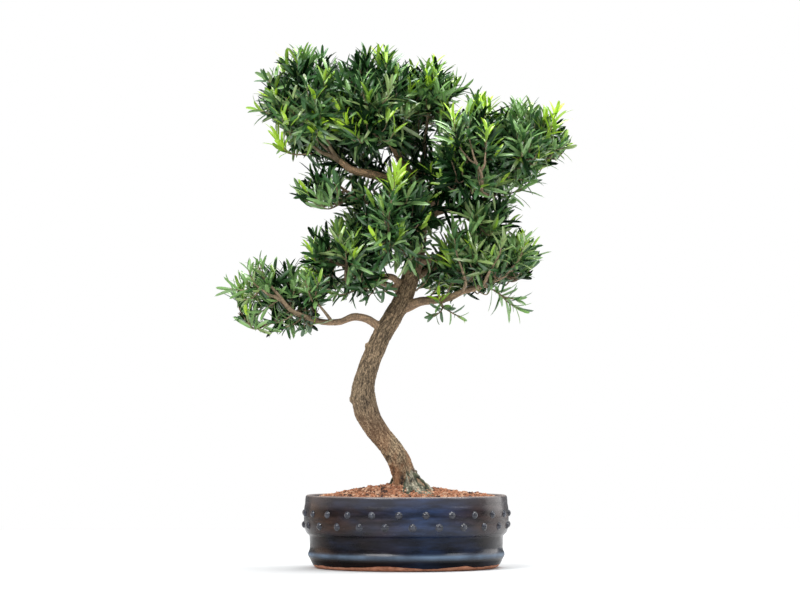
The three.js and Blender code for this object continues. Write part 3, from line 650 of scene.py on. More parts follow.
def soil_pieces(random, surface):
    bed = joined([lumpy_mound(), turned(SOIL_WALL, POT_FACETS)])
    add_piece("soil_bed", bed[0] - SOIL_SINK * UP, bed[1], soil_and_painted_shade_finish(), "soil", ["soil"])
    ball, ball_faces = icosahedron()
    index = np.arange(GRANULES)
    radius, angle = SOIL_REACH * np.sqrt((index + 0.5) / GRANULES), index * GOLDEN_ANGLE
    places = np.column_stack([radius * np.cos(angle), radius * np.sin(angle)])
    places += random.normal(0, GRANULE_STRAY, (GRANULES, 2))
    places *= np.minimum(1, SOIL_REACH / np.linalg.norm(places, axis=1))[:, None]
    kinds = random.choice(len(GRANULE_SHARES), GRANULES, p=GRANULE_SHARES)
    for kind, (name, colour) in enumerate(GRANULE_COLOURS.items()):
        grains = []
        for x, y in places[kinds == kind]:
            size = GRANULE_RADIUS * random.choice(GRANULE_SIZES) * random.uniform(*GRANULE_AXES, 3)
            grain = ball * size * random.uniform(*GRANULE_CORNERS, (len(ball), 1))
            grain = grain @ random_turn(random).T
            middle = (x, y, level_at(surface, x, y) + random.uniform(*GRANULE_HEIGHTS))
            grains.append((grain + middle, ball_faces))
        add_piece(name, *joined(grains), granule_finish(name, colour), "soil", ["soil"], smooth=False)


def icosahedron():
    golden = (1 + math.sqrt(5)) / 2
    corners = np.array([(0, a, b * golden) for a in (-1, 1) for b in (-1, 1)])
    points = unit(np.vstack([np.roll(corners, turn, axis=1) for turn in (0, -1, 1)]))
    faces = []
    for i, j, k in itertools.combinations(range(12), 3):
        a, b, c = points[[i, j, k]]
        if max(np.linalg.norm(a - b), np.linalg.norm(b - c), np.linalg.norm(c - a)) < 1.1:
            faces.append((i, j, k) if np.dot(np.cross(b - a, c - a), a) > 0 else (i, k, j))
    return points, np.array(faces)


def random_turn(random):
    """A random rotation."""
    matrix, _ = np.linalg.qr(random.normal(size=(3, 3)))
    return matrix * np.sign(np.linalg.det(matrix))


# ---- Trunk and boughs ----

BARK_VOXEL = 1.0
LIMB_SIDES = 24
LIMB_STEP = 1.5
KNOT_SIDES = 16
LIMB_SHIFT = 700  # between the bark patterns of one limb and the next
BARK_END = 4  # how far the limbs go on below the ground
THICK = 14  # radius from which a limb has the full relief
STRIP_WIDTH = 3.1  # width of a strip of bark
STRIP_LENGTH = 20
STAINS = [  # middle, radii and strength of dark places on the bark
    ((-5, -16, 109), (4.6, 14, 15), 1),
    ((-16, -10, 120), (2.4, 12, 15), 0.75),
    ((-21, -6, 137), (8, 14, 7), 0.95),
    ((10, -12, 123), (5, 9, 6), 0.9),
    ((-52, -18, 208), (9, 14, 15), 0.5),
    ((-11, -12, 354), (5, 8, 7), 0.6),
]
SPREAD_ROOTS = 33
STRINGS_PER_ROOT = [10, 6, 6, 6]
STRING_COLOURS = {
    "root_strings_pale": (0.38, 0.35, 0.26),
    "root_strings_grey": (0.21, 0.195, 0.14),
    "root_strings_mossy": (0.075, 0.085, 0.05),
}
STRING_RADII = (1.0, 2.0)
STRING_SIDES = 8
SPREAD_START = ((-1, -15.5, 109), (9, -13.5, 124))  # corners of the space where the roots on the soil start
SPREAD_END = ((-6, -78), (38, -44))  # and of the field where they end


def limb_rows():
    return [TRUNK_LINE, *ROOT_LINES, *BOUGHS.values()]


def bark_piece():
    limbs = [centre_line(rows, LIMB_STEP) for rows in limb_rows()]
    parts = [tube(path, radii, LIMB_SIDES) for path, radii in limbs]
    for *middle, radius in KNOTS:
        block = [(0, -radius), (radius, -radius), (radius, radius), (0, radius)]
        knob, knob_faces = turned(rounded(block, radius), KNOT_SIDES)
        parts.append((knob + middle, knob_faces))
    vertices, faces, normals = after_modifiers(
        *joined(parts),
        ("REMESH", {"mode": "VOXEL", "voxel_size": BARK_VOXEL}),
        ("SMOOTH", {"factor": 0.5, "iterations": 5}),
    )
    depth, girth, rise = bark_relief(vertices, limbs)
    vertices += normals * rise[:, None]
    vertices[:, 2] = np.maximum(vertices[:, 2], GROUND - BARK_END)
    piece = add_piece("bark_limbs", vertices, faces, bark_finish(), "bark", LIMB_NODES)
    for name, values in (("relief", depth), ("girth", girth), ("stain", stains_at(vertices))):
        attribute = piece.data.attributes.new(name, "FLOAT", "POINT")
        attribute.data.foreach_set("value", values.astype(np.float32))


def spread_root_rows(random, surface):
    """A thin root that runs down the front of the flare and on over the soil."""
    start = random.uniform(*SPREAD_START)
    end_x, end_y = random.uniform(*SPREAD_END)
    bend_x, crest_x = (start[0] + share * (end_x - start[0]) + random.uniform(-3, 3) for share in (0.4, 0.7))
    size = random.uniform(0.7, 1.25)
    return [
        [*start, 0.9 * size],
        [bend_x, -20 + random.uniform(-2, 2), 104, 1.7 * size],
        [crest_x, -33 + random.uniform(-4, 4), level_at(surface, crest_x, -33) + 1.2, 1.6 * size],
        [end_x, end_y, level_at(surface, end_x, end_y) + 0.2, 0.9 * size],
    ]


def root_string_piece(random, surface):
    """Thin roots that wind down over the flare into the soil, closest at the front and right."""
    spread = [spread_root_rows(random, surface) for _ in range(SPREAD_ROOTS)]
    strings = [tube(*centre_line(rows, 3), STRING_SIDES) for rows in spread]
    for rows, count in zip(ROOT_LINES, STRINGS_PER_ROOT):
        path, radii = centre_line(rows, 2)
        _, normals, binormals = frames_along(path)
        share = np.linspace(0, 1, len(path))[:, None]
        for i in range(count):
            angle = i * GOLDEN_ANGLE + random.uniform(-1.2, 1.2) * share
            angle += 0.25 * np.sin(2 * math.pi * (random.uniform(1, 2.2) * share + random.random()))
            out = (radii[:, None] - 0.2) * random.uniform(0.85, 1.12)
            line = path + out * (np.cos(angle) * normals + np.sin(angle) * binormals)
            sizes = random.uniform(*STRING_RADII) * (1.15 - 0.5 * share[:, 0])
            sizes *= 1 + 0.2 * np.sin(2 * math.pi * (5 * share[:, 0] + random.random()))
            first = int(random.uniform(0, 0.3) * len(path))
            strings.append(tube(line[first:], sizes[first:], STRING_SIDES))
    for kind, (name, colour) in enumerate(STRING_COLOURS.items()):
        some = strings[kind :: len(STRING_COLOURS)]
        add_piece(name, *joined(some), string_finish(name, colour), "bark", ["trunk"])


def nearest_on(limbs, points, first):
    """For each point its nearest limb's normals, place along, radius and centre, and its distance from it."""
    table, tree = [], kdtree.KDTree(sum(len(path) for path, _ in limbs))
    for number, (path, radii) in enumerate(limbs, first):
        _, normals, binormals = frames_along(path)
        for i, point in enumerate(path):
            tree.insert(point, len(table))
            table.append([*normals[i], *binormals[i], LIMB_STEP * i + LIMB_SHIFT * number, radii[i], *point])
    tree.balance()
    rows = np.array(table)[[tree.find(point)[1] for point in points.tolist()]]
    return rows, np.linalg.norm(points - rows[:, 8:11], axis=1) - rows[:, 7]


def stains_at(points):
    """How dark the bark's stains are at points, from 0 to 1."""
    dark = np.zeros(len(points))
    for centre, radii, strength in STAINS:
        share = np.linalg.norm((points - centre) / np.array(radii), axis=1)
        dark = np.maximum(dark, strength * np.clip(1.6 * (1 - share), 0, 1))
    return dark * np.clip(0.95 + 1.3 * noise_at(points / 2.5), 0, 1)


def bark_relief(points, limbs):
    """Strips along each limb: 0 in a fissure to 1 on a strip, the limb's girth, and the bark's rise."""
    on_trunk, off_trunk = nearest_on(limbs[:1], points, 0)
    on_bough, off_bough = nearest_on(limbs[1:], points, 1)
    nearest = np.where((off_trunk < off_bough)[:, None], on_trunk, on_bough)
    offset = points - nearest[:, 8:11]
    across = (offset * nearest[:, 0:3]).sum(1)
    aside = (offset * nearest[:, 3:6]).sum(1)
    distance = np.hypot(across, aside) + 1e-6
    along, radius = nearest[:, 6], nearest[:, 7]
    turn = np.column_stack([across / distance, aside / distance])
    wide = np.column_stack([turn * (radius / STRIP_WIDTH)[:, None], along / STRIP_LENGTH])
    bend = 0.35 * noise_at(wide * [0.5, 0.5, 1.7] + 9)
    strips = np.abs(noise_at(wide * [1.35, 1.35, 1.3] + bend[:, None]))
    cracks = np.abs(noise_at(wide * [3.4, 3.4, 4.2] + 31))
    depth = np.clip(0.32 + 2.6 * strips, 0, 1) * np.clip(0.5 + 2.4 * cracks, 0, 1)
    depth = np.clip(depth + 0.3 * noise_at(points / 1.9), 0, 1)
    girth = np.minimum(radius, THICK) / THICK
    return depth, girth, girth * (1.5 * (depth - 0.7) + 1.1 * noise_at(points / 17))


# ---- Foliage ----

FIRST_SEED = 100
CORE_CORNERS = 42  # draws that the source spends on a dense pad's core
FORK = (0.4, 0.85)  # how far up its stem an open pad forks, and a dense one
STEM_SINK = 0.15
STEM_OVERLAP = 2
STEM_RADII = (2.2, 2.0, 1.7)
TWIG_RISE = 0.75
TWIG_RADII = (1.1, 1.7)  # where a shoot starts, and where a main twig does
TWIG_STEP = 3
LOWEST_SHOOT = -0.4
SHOOT_AREA = 6000  # skin that is given to one main twig
FINE_AREA = (800, 500)  # and to one shoot, in an open pad and in a dense one
PAD_END = 1.02  # how far out a pad's own space goes, where 1 is its skin
MIN_REACH = 0.5  # a shoot whose pad ends nearer than this to its heart is left out
LAYERS = [1.0, 0.96, 0.76, 1.0, 0.88, 0.6]  # reach of successive shoots
# Painted shade: the leaves of an inner shoot are only deep or dark.
INNER_LAYER = 0.85  # a shoot of less reach has only dark leaves, further apart
TUFT_LAYER = 1.6  # a free shoot of more is a young tuft
LEAF_LENGTH = 35
LEAF_LENGTHS = (0.82, 1.08)  # least and most, as a share of it
LEAF_WIDTH = 4.8
LEAF_WIDTHS = (0.8, 1.12)
LEAF_BEND = 0.2
LEAF_REACH = 1.1  # a leaf whose tip lies further out in its pad is left out
LEAFY_LENGTH = 50  # of a shoot's end
LEAFY_SHARE = 0.9  # and the most of a shoot that has leaves
TUFT_LENGTH = 24  # the same on a tuft, whose leaves stand close together
LEAF_STEP = 2.6  # between one leaf and the next along a shoot
LIMB_MARGIN = 0.5
FEWEST_LEAVES = 4  # a twig that keeps fewer leaves is left out
BLOCK = 4000  # points that are measured at a time

# Leaf colours, and how the mature shoots share the first four. The deep colour is painted shade, and the
# shaded and sunny shares paint shade and light at places on the front.
LEAF_COLOURS = {
    "leaves_deep": (0.006, 0.024, 0.006),
    "leaves_dark": (0.048, 0.138, 0.038),
    "leaves_mid": (0.22, 0.40, 0.125),
    "leaves_olive": (0.27, 0.38, 0.13),
    "leaves_fresh": (0.28, 0.48, 0.05),
    "leaves_lime": (0.43, 0.68, 0.035),
}
DARK, MID, FRESH, LIME = 1, 2, 4, 5  # their places among the colours
MATURE_SHARES = [0.30, 0.34, 0.26, 0.10]
SHADED_SHARES = [0.66, 0.28, 0.05, 0.01]
SUNNY_SHARES = [0.05, 0.22, 0.46, 0.27]
SHADED_PLACES = [  # x, z and radius at the front
    (49, 506, 36), (15, 532, 20), (-65, 557, 24), (-78, 532, 20), (75, 553, 18), (34, 462, 18),
    (-55, 588, 20),
]
SUNNY_PLACES = [
    (-115, 612, 30), (-152, 600, 24), (5, 610, 22), (-110, 576, 36), (-137, 563, 24), (120, 398, 44),
    (81, 432, 26), (-104, 481, 32), (-86, 380, 24), (-205, 358, 28), (165, 548, 34), (140, 580, 24),
    (28, 596, 30), (96, 455, 20),
]
FLUSHES = [  # x and z of young tips at the front
    (-167, 557), (-11, 519), (98, 602), (155, 589), (196, 570), (34, 634), (40, 340), (-8, 545), (177, 560),
    (184, 534),
]
FREE = -1  # in place of a pad's number, for a shoot that keeps to no pad's space
THROUGH = 150  # reach of a window that goes through the whole crown
WINDOWS = [  # middle and radii of the places that leaves keep out of, where boughs show
    ((-48, -64, 504), (36, 46, 12)), ((-92, -66, 520), (30, 44, 12)), ((-152, -74, 335), (26, 34, 13)),
    ((-128, -66, 320), (18, 34, 9)), ((89, -112, 498), (15, 34, 17)), ((100, -74, 364), (38, 28, 9)),
] + [((x, 0, z), (wide, THROUGH, high)) for x, z, wide, high in [  # and where sky shows
    (-28, 527, 9, 9), (24, 563, 17, 11), (66, 587, 10, 11), (31, 413, 10, 7), (66, 436, 20, 4),
    (-77, 484, 6, 8), (-83, 378, 8, 10), (-36, 476, 7, 6), (-174, 546, 18, 18), (-180, 321, 7, 9),
    (-99, 326, 12, 8), (-234, 330, 20, 15), (148, 354, 22, 11), (182, 379, 16, 11), (186, 500, 16, 11),
    (212, 522, 13, 12), (-188, 640, 13, 11),
]]
BRANCHLETS = [  # x, y, z and radius along the thick twigs that show within the pads
    [
        [-115, -21, 314, 3.5], [-130, -34, 318, 3.2], [-146, -46, 326, 2.9], [-158, -52, 340, 2.5],
        [-171, -54, 356, 1.5],
    ],
    [[-154, -50, 335, 2.4], [-164, -56, 341, 2], [-174, -60, 345, 1.6], [-183, -62, 352, 1]],
    [[-94, -19, 311, 2.4], [-102, -30, 322, 1.9], [-112, -38, 334, 1.2]],
    [
        [69, -25, 490, 3], [86, -50, 478, 2.8], [94, -80, 480, 2.4], [92, -98, 498, 1.9],
        [85, -102, 511, 1.5], [81, -104, 526, 0.9],
    ],
    [[92, -97, 496, 1.8], [97, -103, 504, 1.4], [98, -105, 516, 0.9]],
    [[88, -100, 506, 1.4], [80, -105, 509, 1.1], [74, -107, 516, 0.7]],
    [[111, -14, 477, 2.8], [110, -34, 470, 2.4], [98, -58, 472, 2.2], [93, -80, 480, 2]],
    [[-84, -24, 515, 3.2], [-97, -32, 522, 2.8], [-108, -38, 526, 2.3], [-119, -42, 534, 1.6]],
    [[-84, -24, 515, 3], [-94, -34, 528, 2.6], [-99, -40, 538, 2], [-104, -44, 550, 1.4]],
    [[71, -13, 350, 2.5], [75, -36, 360, 2.2], [71, -52, 374, 1.6], [66, -60, 388, 1]],
    [[86, -15, 354, 2.6], [98, -36, 360, 2.3], [104, -54, 372, 1.8], [112, -62, 386, 1]],
    [[99, -16, 358, 2.9], [112, -34, 363, 2.4], [126, -48, 370, 1.8], [136, -54, 382, 1.1]],
]
FLUSH_REACH = 10
FLUSH_CHANCE = 0.03  # that another shoot has young tips as well
LIME_FROM = 0.62  # place among its leaves from which such a shoot is lime
FRESH_SPAN = 0.17  # and how far below that it is fresh
YOUNG_CHANCE = 0.22  # that a shoot is paler from YOUNG_FROM on
YOUNG_FROM = 0.72
STEADY_CHANCE = 0.75  # that a leaf has its shoot's first colour

# Single shoots that show clearly: the share that is young, or less than 0 for a shoot in the shade, then x, y
# and z of the points along it up to its end.
FEATURES = [
    (0.22, -20, -78, 404, -22, -98, 432, -18, -110, 464, -12, -113, 494),
    (0.9, -120, -40, 524, -140, -48, 522, -154, -54, 526, -162, -58, 544),
    (0.9, -140, -48, 522, -150, -56, 524, -157, -64, 536),
    (0.5, 150, -36, 505, 168, -44, 530, 181, -50, 552, 189, -52, 573),
    (0, 160, -36, 526, 184, -42, 528, 200, -44, 530),
    (0, 111, -14, 477, 128, -22, 474, 146, -28, 480, 160, -30, 492),
    (0, 97, -12, 466, 114, -22, 458, 130, -28, 462),
    (0, 98, -16, 357, 116, -20, 349, 128, -24, 337, 142, -27, 328),
    (0, 112, -18, 351, 124, -28, 343, 138, -36, 339), (0.5, 48, -13, 330, 43, -22, 336, 41, -30, 345),
    (0, 49, -13, 329, 58, -18, 323, 69, -22, 317), (0, 47, -12, 331, 43, -20, 324, 34, -26, 318),
    (0, -126, -22, 318, -129, -26, 310, -130, -28, 303), (0, -30, -14, 356, -28, -26, 350, -24, -34, 350),
    (0, -50, -18, 356, -56, -30, 352, -60, -40, 356), (0, -60, -18, 354, -76, -24, 347, -92, -28, 345),
    (0, -38, -14, 364, -42, -24, 350, -50, -28, 342), (0, 12, 0, 352, 26, -8, 364, 33, -12, 384),
    (0, 30, -4, 344, 40, -10, 356, 46, -16, 376), (0, 52, -9, 348, 58, -14, 362, 62, -18, 380),
    (0, 14, 2, 470, 6, -14, 482, -3, -24, 500), (0, 17, 4, 480, 14, -14, 500, 6, -22, 524),
    (-0.2, 21, 2, 490, 24, -12, 512, 20, -20, 540), (-0.2, 30, 2, 472, 28, -20, 486, 20, -34, 506),
    (-0.2, 40, -4, 476, 36, -26, 500, 32, -36, 528), (0, 14, 2, 452, 8, -18, 462, 10, -34, 478),
    (0, 18, 16, 480, 4, 30, 500, -2, 34, 522), (0, 24, 16, 470, 30, 34, 494, 24, 40, 520),
    (0, -20, 50, 496, -36, 42, 502, -50, 36, 516), (0, -36, 62, 508, -62, 46, 508, -80, 38, 518),
    (0, -4, 34, 482, -20, 28, 492, -36, 24, 502), (0, -50, 70, 522, -80, 60, 514, -98, 50, 524),
    (0, 3, -16, 407, 12, -24, 402, 22, -32, 408), (0, 3, -16, 407, 6, -28, 418, 8, -34, 434),
    (0, 12, 0, 398, 8, -18, 392, 4, -28, 384), (-0.2, -31, -6, 496, -40, 10, 508, -52, 18, 528),
    (-0.2, -51, -14, 501, -60, 4, 512, -70, 14, 532), (-0.2, -8, 4, 484, -22, 14, 500, -38, 20, 522),
    (-0.2, -69, -20, 505, -84, -2, 516, -94, 8, 534), (-0.2, -31, -6, 496, -48, 8, 500, -66, 16, 510),
    (-0.2, -51, -14, 501, -72, 2, 504, -88, 10, 516), (0.1, 0, -44, 560, 10, -54, 584, 22, -60, 606),
    (0, 26, -30, 580, 44, -38, 594, 56, -42, 600, 68, -44, 604),
    (0, 24, -32, 588, 36, -40, 592, 48, -46, 600), (0, -150, -50, 600, -164, -54, 606, -178, -56, 618),
    (0, -150, -50, 572, -170, -54, 572, -188, -56, 578), (0.6, 26, -24, 606, 32, -28, 622, 37, -30, 640),
    (0.35, 38, -26, 600, 48, -30, 606, 54, -32, 616), (0, 120, -30, 500, 140, -38, 505, 157, -42, 506),
    (0, 112, -30, 488, 134, -36, 492, 152, -38, 490), (0, 100, -28, 472, 112, -32, 472, 124, -34, 470),
    (0, 60, -60, 480, 62, -84, 492, 56, -100, 510), (0.14, 66, -80, 520, 62, -104, 540, 58, -112, 562),
    (0, 67, -12, 405, 78, -30, 414, 86, -40, 430), (0, 67, -12, 405, 90, -30, 416, 106, -40, 430),
    (0, 50, -8, 396, 56, -26, 410, 60, -38, 430), (-0.1, 30, -2, 452, 38, -22, 456, 42, -36, 470),
    (-0.1, 44, -2, 454, 52, -24, 458, 58, -38, 472), (-0.1, 20, 6, 446, 24, -18, 450, 28, -34, 464),
    (0, 58, -6, 457, 68, -26, 460, 76, -40, 474), (0, -171, -54, 356, -180, -54, 366, -186, -54, 380),
    (0, -183, -62, 352, -202, -54, 350, -222, -46, 352),
    (0, -122, -40, 604, -124, -44, 624, -126, -46, 645),
    (0, -183, -62, 352, -194, -60, 340, -204, -56, 338),
    (0, -158, -52, 340, -176, -48, 328, -190, -44, 318),
    (0, -140, -42, 322, -156, -44, 312, -172, -44, 308),
    (0, -130, -34, 318, -142, -40, 308, -152, -42, 304),
    (0, -118, -50, 336, -122, -60, 346, -127, -66, 362),
    (0, -112, -38, 334, -114, -54, 346, -110, -64, 360),
]
FILLERS = [  # start and end of shoots that close the crown between its front and back pads
    ((-54, 72, 524), (-92, 26, 632)), ((-54, 72, 524), (-34, 24, 640)), ((-54, 72, 524), (-144, 28, 606)),
    ((13, 66, 524), (-8, 24, 628)), ((65, 64, 486), (88, 20, 572)), ((65, 64, 486), (136, 24, 566)),
    ((8, 43, 433), (-48, 22, 476)), ((42, 42, 386), (92, 18, 424)), ((-42, 54, 368), (-84, 22, 412)),
]
FILLER_SPREAD = 17  # three shoots go to each place, their ends this far apart
SPRIGS = ["sprig_centre", "sprig_right"]  # small pads whose shoots are all among the features


def space_shares(points):
    """How far out in each pad every point lies: 1 is on that pad's skin."""
    return np.linalg.norm((points[..., None, :] - PAD_CENTRES) / PAD_RADII, axis=-1)


def in_own_space(pad, points):
    """Whether points lie in a pad and deeper in it than in any other."""
    shares = space_shares(points)
    own = shares[..., pad].copy()
    shares[..., pad] = np.inf
    return (own <= PAD_END) & (own <= shares.min(axis=-1))


LIMB_POINTS = [centre_line(rows, TWIG_STEP) for rows in limb_rows()]
LIMB_CENTRES = np.vstack([path for path, _ in LIMB_POINTS]).astype(np.float32)
LIMB_RADII = np.concatenate([radii for _, radii in LIMB_POINTS]).astype(np.float32)


def clear_of_limbs(points, margin):
    flat = points.reshape(-1, 3).astype(np.float32)
    clear = np.empty(len(flat), bool)
    for start in range(0, len(flat), BLOCK):
        gaps = np.linalg.norm(flat[start : start + BLOCK, None] - LIMB_CENTRES, axis=-1) - LIMB_RADII
        clear[start : start + BLOCK] = gaps.min(axis=1) > margin
    return clear.reshape(points.shape[:-1])


def out_of_windows(points):
    """Whether no point of a leaf lies in a window."""
    clear = np.ones(len(points), bool)
    for centre, radii in WINDOWS:
        clear &= np.linalg.norm((points - centre) / np.array(radii), axis=-1).min(axis=1) > 1
    return clear


def stem_rows(name):
    """A pad's stem, from its bough's tip to the pad's heart."""
    centre, radii, _ = PADS[name]
    before, end = np.array(BOUGHS[CARRIERS.get(name, name)], float)[-2:, :3]
    heading = unit(end - before)
    start = end - heading * STEM_OVERLAP + UP * LIFTS.get(name, 0)
    heart = centre - UP * STEM_SINK * radii[2]
    middle = start + heading * 0.4 * np.linalg.norm(heart - start)
    middle += 0.3 * (heart - middle)
    return np.column_stack([[start, middle, heart], STEM_RADII])


def shoot_direction(index, turn):
    height = 1 + (LOWEST_SHOOT - 1) * ((0.5 + index * 0.7549) % 1)
    ring = math.sqrt(1 - height * height)
    angle = turn + 2 * math.pi * ((0.5 + index * 0.5698) % 1)
    return np.array([ring * math.cos(angle), ring * math.sin(angle), height])


def reach_in_space(pad, out):
    """How far along `out` a pad's own space goes, as a share of its radius."""
    steps = np.linspace(0.3, 1, 15)
    inside = in_own_space(pad, PAD_CENTRES[pad] + steps[:, None] * out * PAD_RADII[pad])
    return steps[inside].max() if inside.any() else 0.0


def grow_pad(number, name, twigs, shoots):
    """Main twigs that fork from the stem, and shoots that branch off the nearest of them."""
    centre, radii, dense = PADS[name]
    random = seeded_random(FIRST_SEED + number)
    for _ in range(CORE_CORNERS if dense else 0):
        random()
    turn = 2 * math.pi * random()
    stem, stem_sizes = centre_line(stem_rows(name), TWIG_STEP)
    twigs.append((stem, stem_sizes))
    skin_area = 4 * math.pi * np.prod(radii) ** (2 / 3)
    mains = []
    for index in range(round(skin_area / FINE_AREA[dense])):
        out = shoot_direction(index, turn)
        reach = reach_in_space(number, out)
        if reach < MIN_REACH:
            continue
        is_main = index < round(skin_area / SHOOT_AREA)
        layer = 1.0 if is_main else LAYERS[index % len(LAYERS)] * (0.9 + 0.16 * random())
        skin = centre + out * radii * min(reach, layer)
        if is_main or not mains:
            carrier, share = stem, FORK[dense] + (1 - FORK[dense]) * random()
        else:
            carrier = max(mains, key=lambda main: float(np.dot(main[0], unit(skin - centre))))[1]
            share = 0.15 + 0.6 * random()
        path, sizes = shoot_line(carrier[int(share * (len(carrier) - 1))], skin, TWIG_RADII[is_main])
        outer = path[len(path) // 4 :]
        if not clear_of_limbs(outer, 1.0).all() or not out_of_windows(outer[None])[0]:
            continue
        if space_shares(outer)[:, number].max() > PAD_END:
            continue
        if is_main:
            mains.append((unit(skin - centre), path))
        shoots.append((number, path, sizes, skin, layer))


def shoot_line(start, skin, size):
    """Points and radii of a shoot that rises from `start` and ends short of the pad's skin."""
    heading = unit(unit(skin - start) + UP * TWIG_RISE)
    tip = skin - heading * LEAF_LENGTH * 0.75
    span = np.linalg.norm(tip - start)
    bend = tip - heading * min(0.4 * span, 0.7 * LEAFY_LENGTH)
    middle = 0.5 * (start + bend) - UP * 0.06 * span
    return centre_line([[*start, size], [*middle, 0.85 * size], [*bend, 0.7], [*tip, 0.5]], TWIG_STEP)


def colour_shares(skin):
    """How a shoot that ends at `skin` deals out the mature colours: by its place at the crown's front."""
    for places, shares in ((SHADED_PLACES, SHADED_SHARES), (SUNNY_PLACES, SUNNY_SHARES)):
        if skin[1] < 0 and any(math.hypot(skin[0] - x, skin[2] - z) < radius for x, z, radius in places):
            return shares
    return MATURE_SHARES


def leaf_table(shoots, random):
    """Pad, root, direction, facing, length, width, colour and shoot of each leaf."""
    rows = []
    for index, (number, path, _, skin, layer) in enumerate(shoots):
        length = np.linalg.norm(np.diff(path, axis=0), axis=1).sum()
        free = number == FREE
        tuft = free and layer > TUFT_LAYER
        leafy = TUFT_LENGTH if tuft else min(LEAFY_SHARE * length, length if free else LEAFY_LENGTH)
        scale = min(1, max(0.55, length / LEAFY_LENGTH)) if free else 1
        count = max(8, int(leafy / (LEAF_STEP * (1.35 if layer < INNER_LAYER else 1))))
        colour_at = colour_rule(skin, layer, free, random)
        for i in range(count):
            place = i / (count - 1)
            station = (len(path) - 1) * (1 - leafy / length * (1 - place))
            angle = i * GOLDEN_ANGLE + random.uniform(-0.3, 0.3)
            opening = math.radians(62 - 44 * place**1.8 + random.uniform(-10, 10)) * (0.5 if tuft else 1)
            size = LEAF_LENGTH * scale * random.uniform(*LEAF_LENGTHS)
            size *= 1 - 0.35 * max(0, place - 0.7) / 0.3
            colour = colour_at(place)
            width = LEAF_WIDTH * random.uniform(*LEAF_WIDTHS)
            rows.append([number, *leaf_frame(path, station, angle, opening), size, width, colour, index])
    return np.array(rows)


def leaf_frame(path, station, angle, opening):
    """Root, direction and facing of a leaf that opens by an angle from its shoot."""
    below = min(int(station), len(path) - 2)
    root = path[below] + (path[below + 1] - path[below]) * (station - below)
    axis = unit(path[below + 1] - path[below])
    across = unit(np.cross(UP, axis))
    outward = across * math.cos(angle) + np.cross(axis, across) * math.sin(angle)
    direction = unit(axis * math.cos(opening) + outward * math.sin(opening) + UP * 0.1)
    return *root, *direction, *axis


def colour_rule(skin, layer, free, random):
    """A shoot's own rule for the colour of a leaf from its place among the shoot's leaves."""
    shares, inner = colour_shares(skin), layer < INNER_LAYER
    base = random.choice(4, p=shares)
    near = min(math.hypot(skin[0] - x, skin[2] - z) for x, z in FLUSHES)
    flush = not inner and ((near < FLUSH_REACH and skin[1] < 0) or random.random() < FLUSH_CHANCE)
    young = not inner and random.random() < YOUNG_CHANCE
    lime_from = LIME_FROM if layer <= 1 else 2 - layer

    def colour_at(place):
        colour = base if random.random() < STEADY_CHANCE else random.choice(4, p=shares)
        if (flush or layer > 1) and place > lime_from - FRESH_SPAN:
            return LIME if place > lime_from else FRESH
        if young and place > YOUNG_FROM:
            return FRESH if random.random() < 0.6 else MID
        # Painted shade: an inner shoot keeps only the deep and dark colours.
        if inner:
            return min(colour, DARK)
        return max(colour, DARK) if free and shares is not SHADED_SHARES else colour

    return colour_at


LEAF_ROWS = [(0.0, 0.3), (0.22, 0.85), (0.6, 1.0), (0.88, 0.7)]  # place along the leaf, and width there
LEAF_FOLD = 0.16  # how far the edges rise above the midrib, as a share of the width


def leaf_template():
    """Two strips from root to tip with a crease at the midrib: across, along, and their triangles."""
    across, along, faces = [], [], []
    for side in (-1, 1):
        start = len(across)
        for place, width in LEAF_ROWS:
            across += [0.0, side * 0.5 * width]
            along += [place, place]
        across.append(0.0)
        along.append(1.0)
        for a in range(start, start + 2 * len(LEAF_ROWS) - 2, 2):
            faces += [(a, a + 1, a + 3), (a, a + 3, a + 2)]
        faces.append((a + 2, a + 3, a + 4))
    faces = [face if face[0] < len(across) // 2 else face[::-1] for face in faces]
    return np.array(across), np.array(along), np.array(faces)


def leaf_vertices(leaves):
    across, along, _ = leaf_template()
    root, direction, facing = leaves[:, None, 1:4], leaves[:, None, 4:7], leaves[:, None, 7:10]
    side = unit(np.cross(direction, facing))
    up = np.cross(side, direction)
    length, width = leaves[:, 10, None], leaves[:, 11, None]
    out = length * (along - 0.12 * LEAF_BEND * along**2)
    lift = -LEAF_BEND * length * along**2 + LEAF_FOLD * width * 2 * np.abs(across)
    return root + direction * out[..., None] + side * (across * width)[..., None] + up * lift[..., None]


def leaf_finish(name, colour):
    """Glossy leaves; the deep ones, which lie in the shade, shine least."""
    finish = Finish(name, colour, 0.3)
    finish.drive("Specular IOR Level", 0.1 if name == "leaves_deep" else 1.0)
    return finish.material


def free_shoots(random):
    """Points of each shoot that keeps to no pad's space, and the share of it that is young."""
    shoots = [(np.reshape(row[1:], (-1, 3)), row[0]) for row in FEATURES]
    for start, end in FILLERS:
        for aside in (-FILLER_SPREAD, 0, FILLER_SPREAD):
            tip = np.add(end, (aside, random.uniform(-6, 6), -0.4 * abs(aside)))
            bend = np.add(start, 0.5 * (tip - start)) + (0.3 * aside, 0, -6)
            shoots.append(([start, bend, tip], 0.0))
    for rows in BRANCHLETS:
        before, tip = np.array(rows[-2:], float)[:, :3]
        heading = unit(tip - before)
        shoots.append(([tip - 6 * heading, tip + 10 * heading, tip + 20 * heading + 12 * UP], 0.0))
    return shoots


def in_place(leaves, vertices):
    """Which leaves keep clear of the limbs, within reach of their pads and out of the windows."""
    _, along, _ = leaf_template()
    pads = leaves[:, 0].astype(int)
    shares = space_shares(vertices[:, along == 1].mean(axis=1))[np.arange(len(leaves)), pads]
    seen = out_of_windows(vertices[:, along >= LEAF_ROWS[1][0]])
    clear = clear_of_limbs(vertices[:, along > 0.5], LIMB_MARGIN).all(axis=1)
    return clear & ((pads == FREE) | ((shares < LEAF_REACH) & seen))


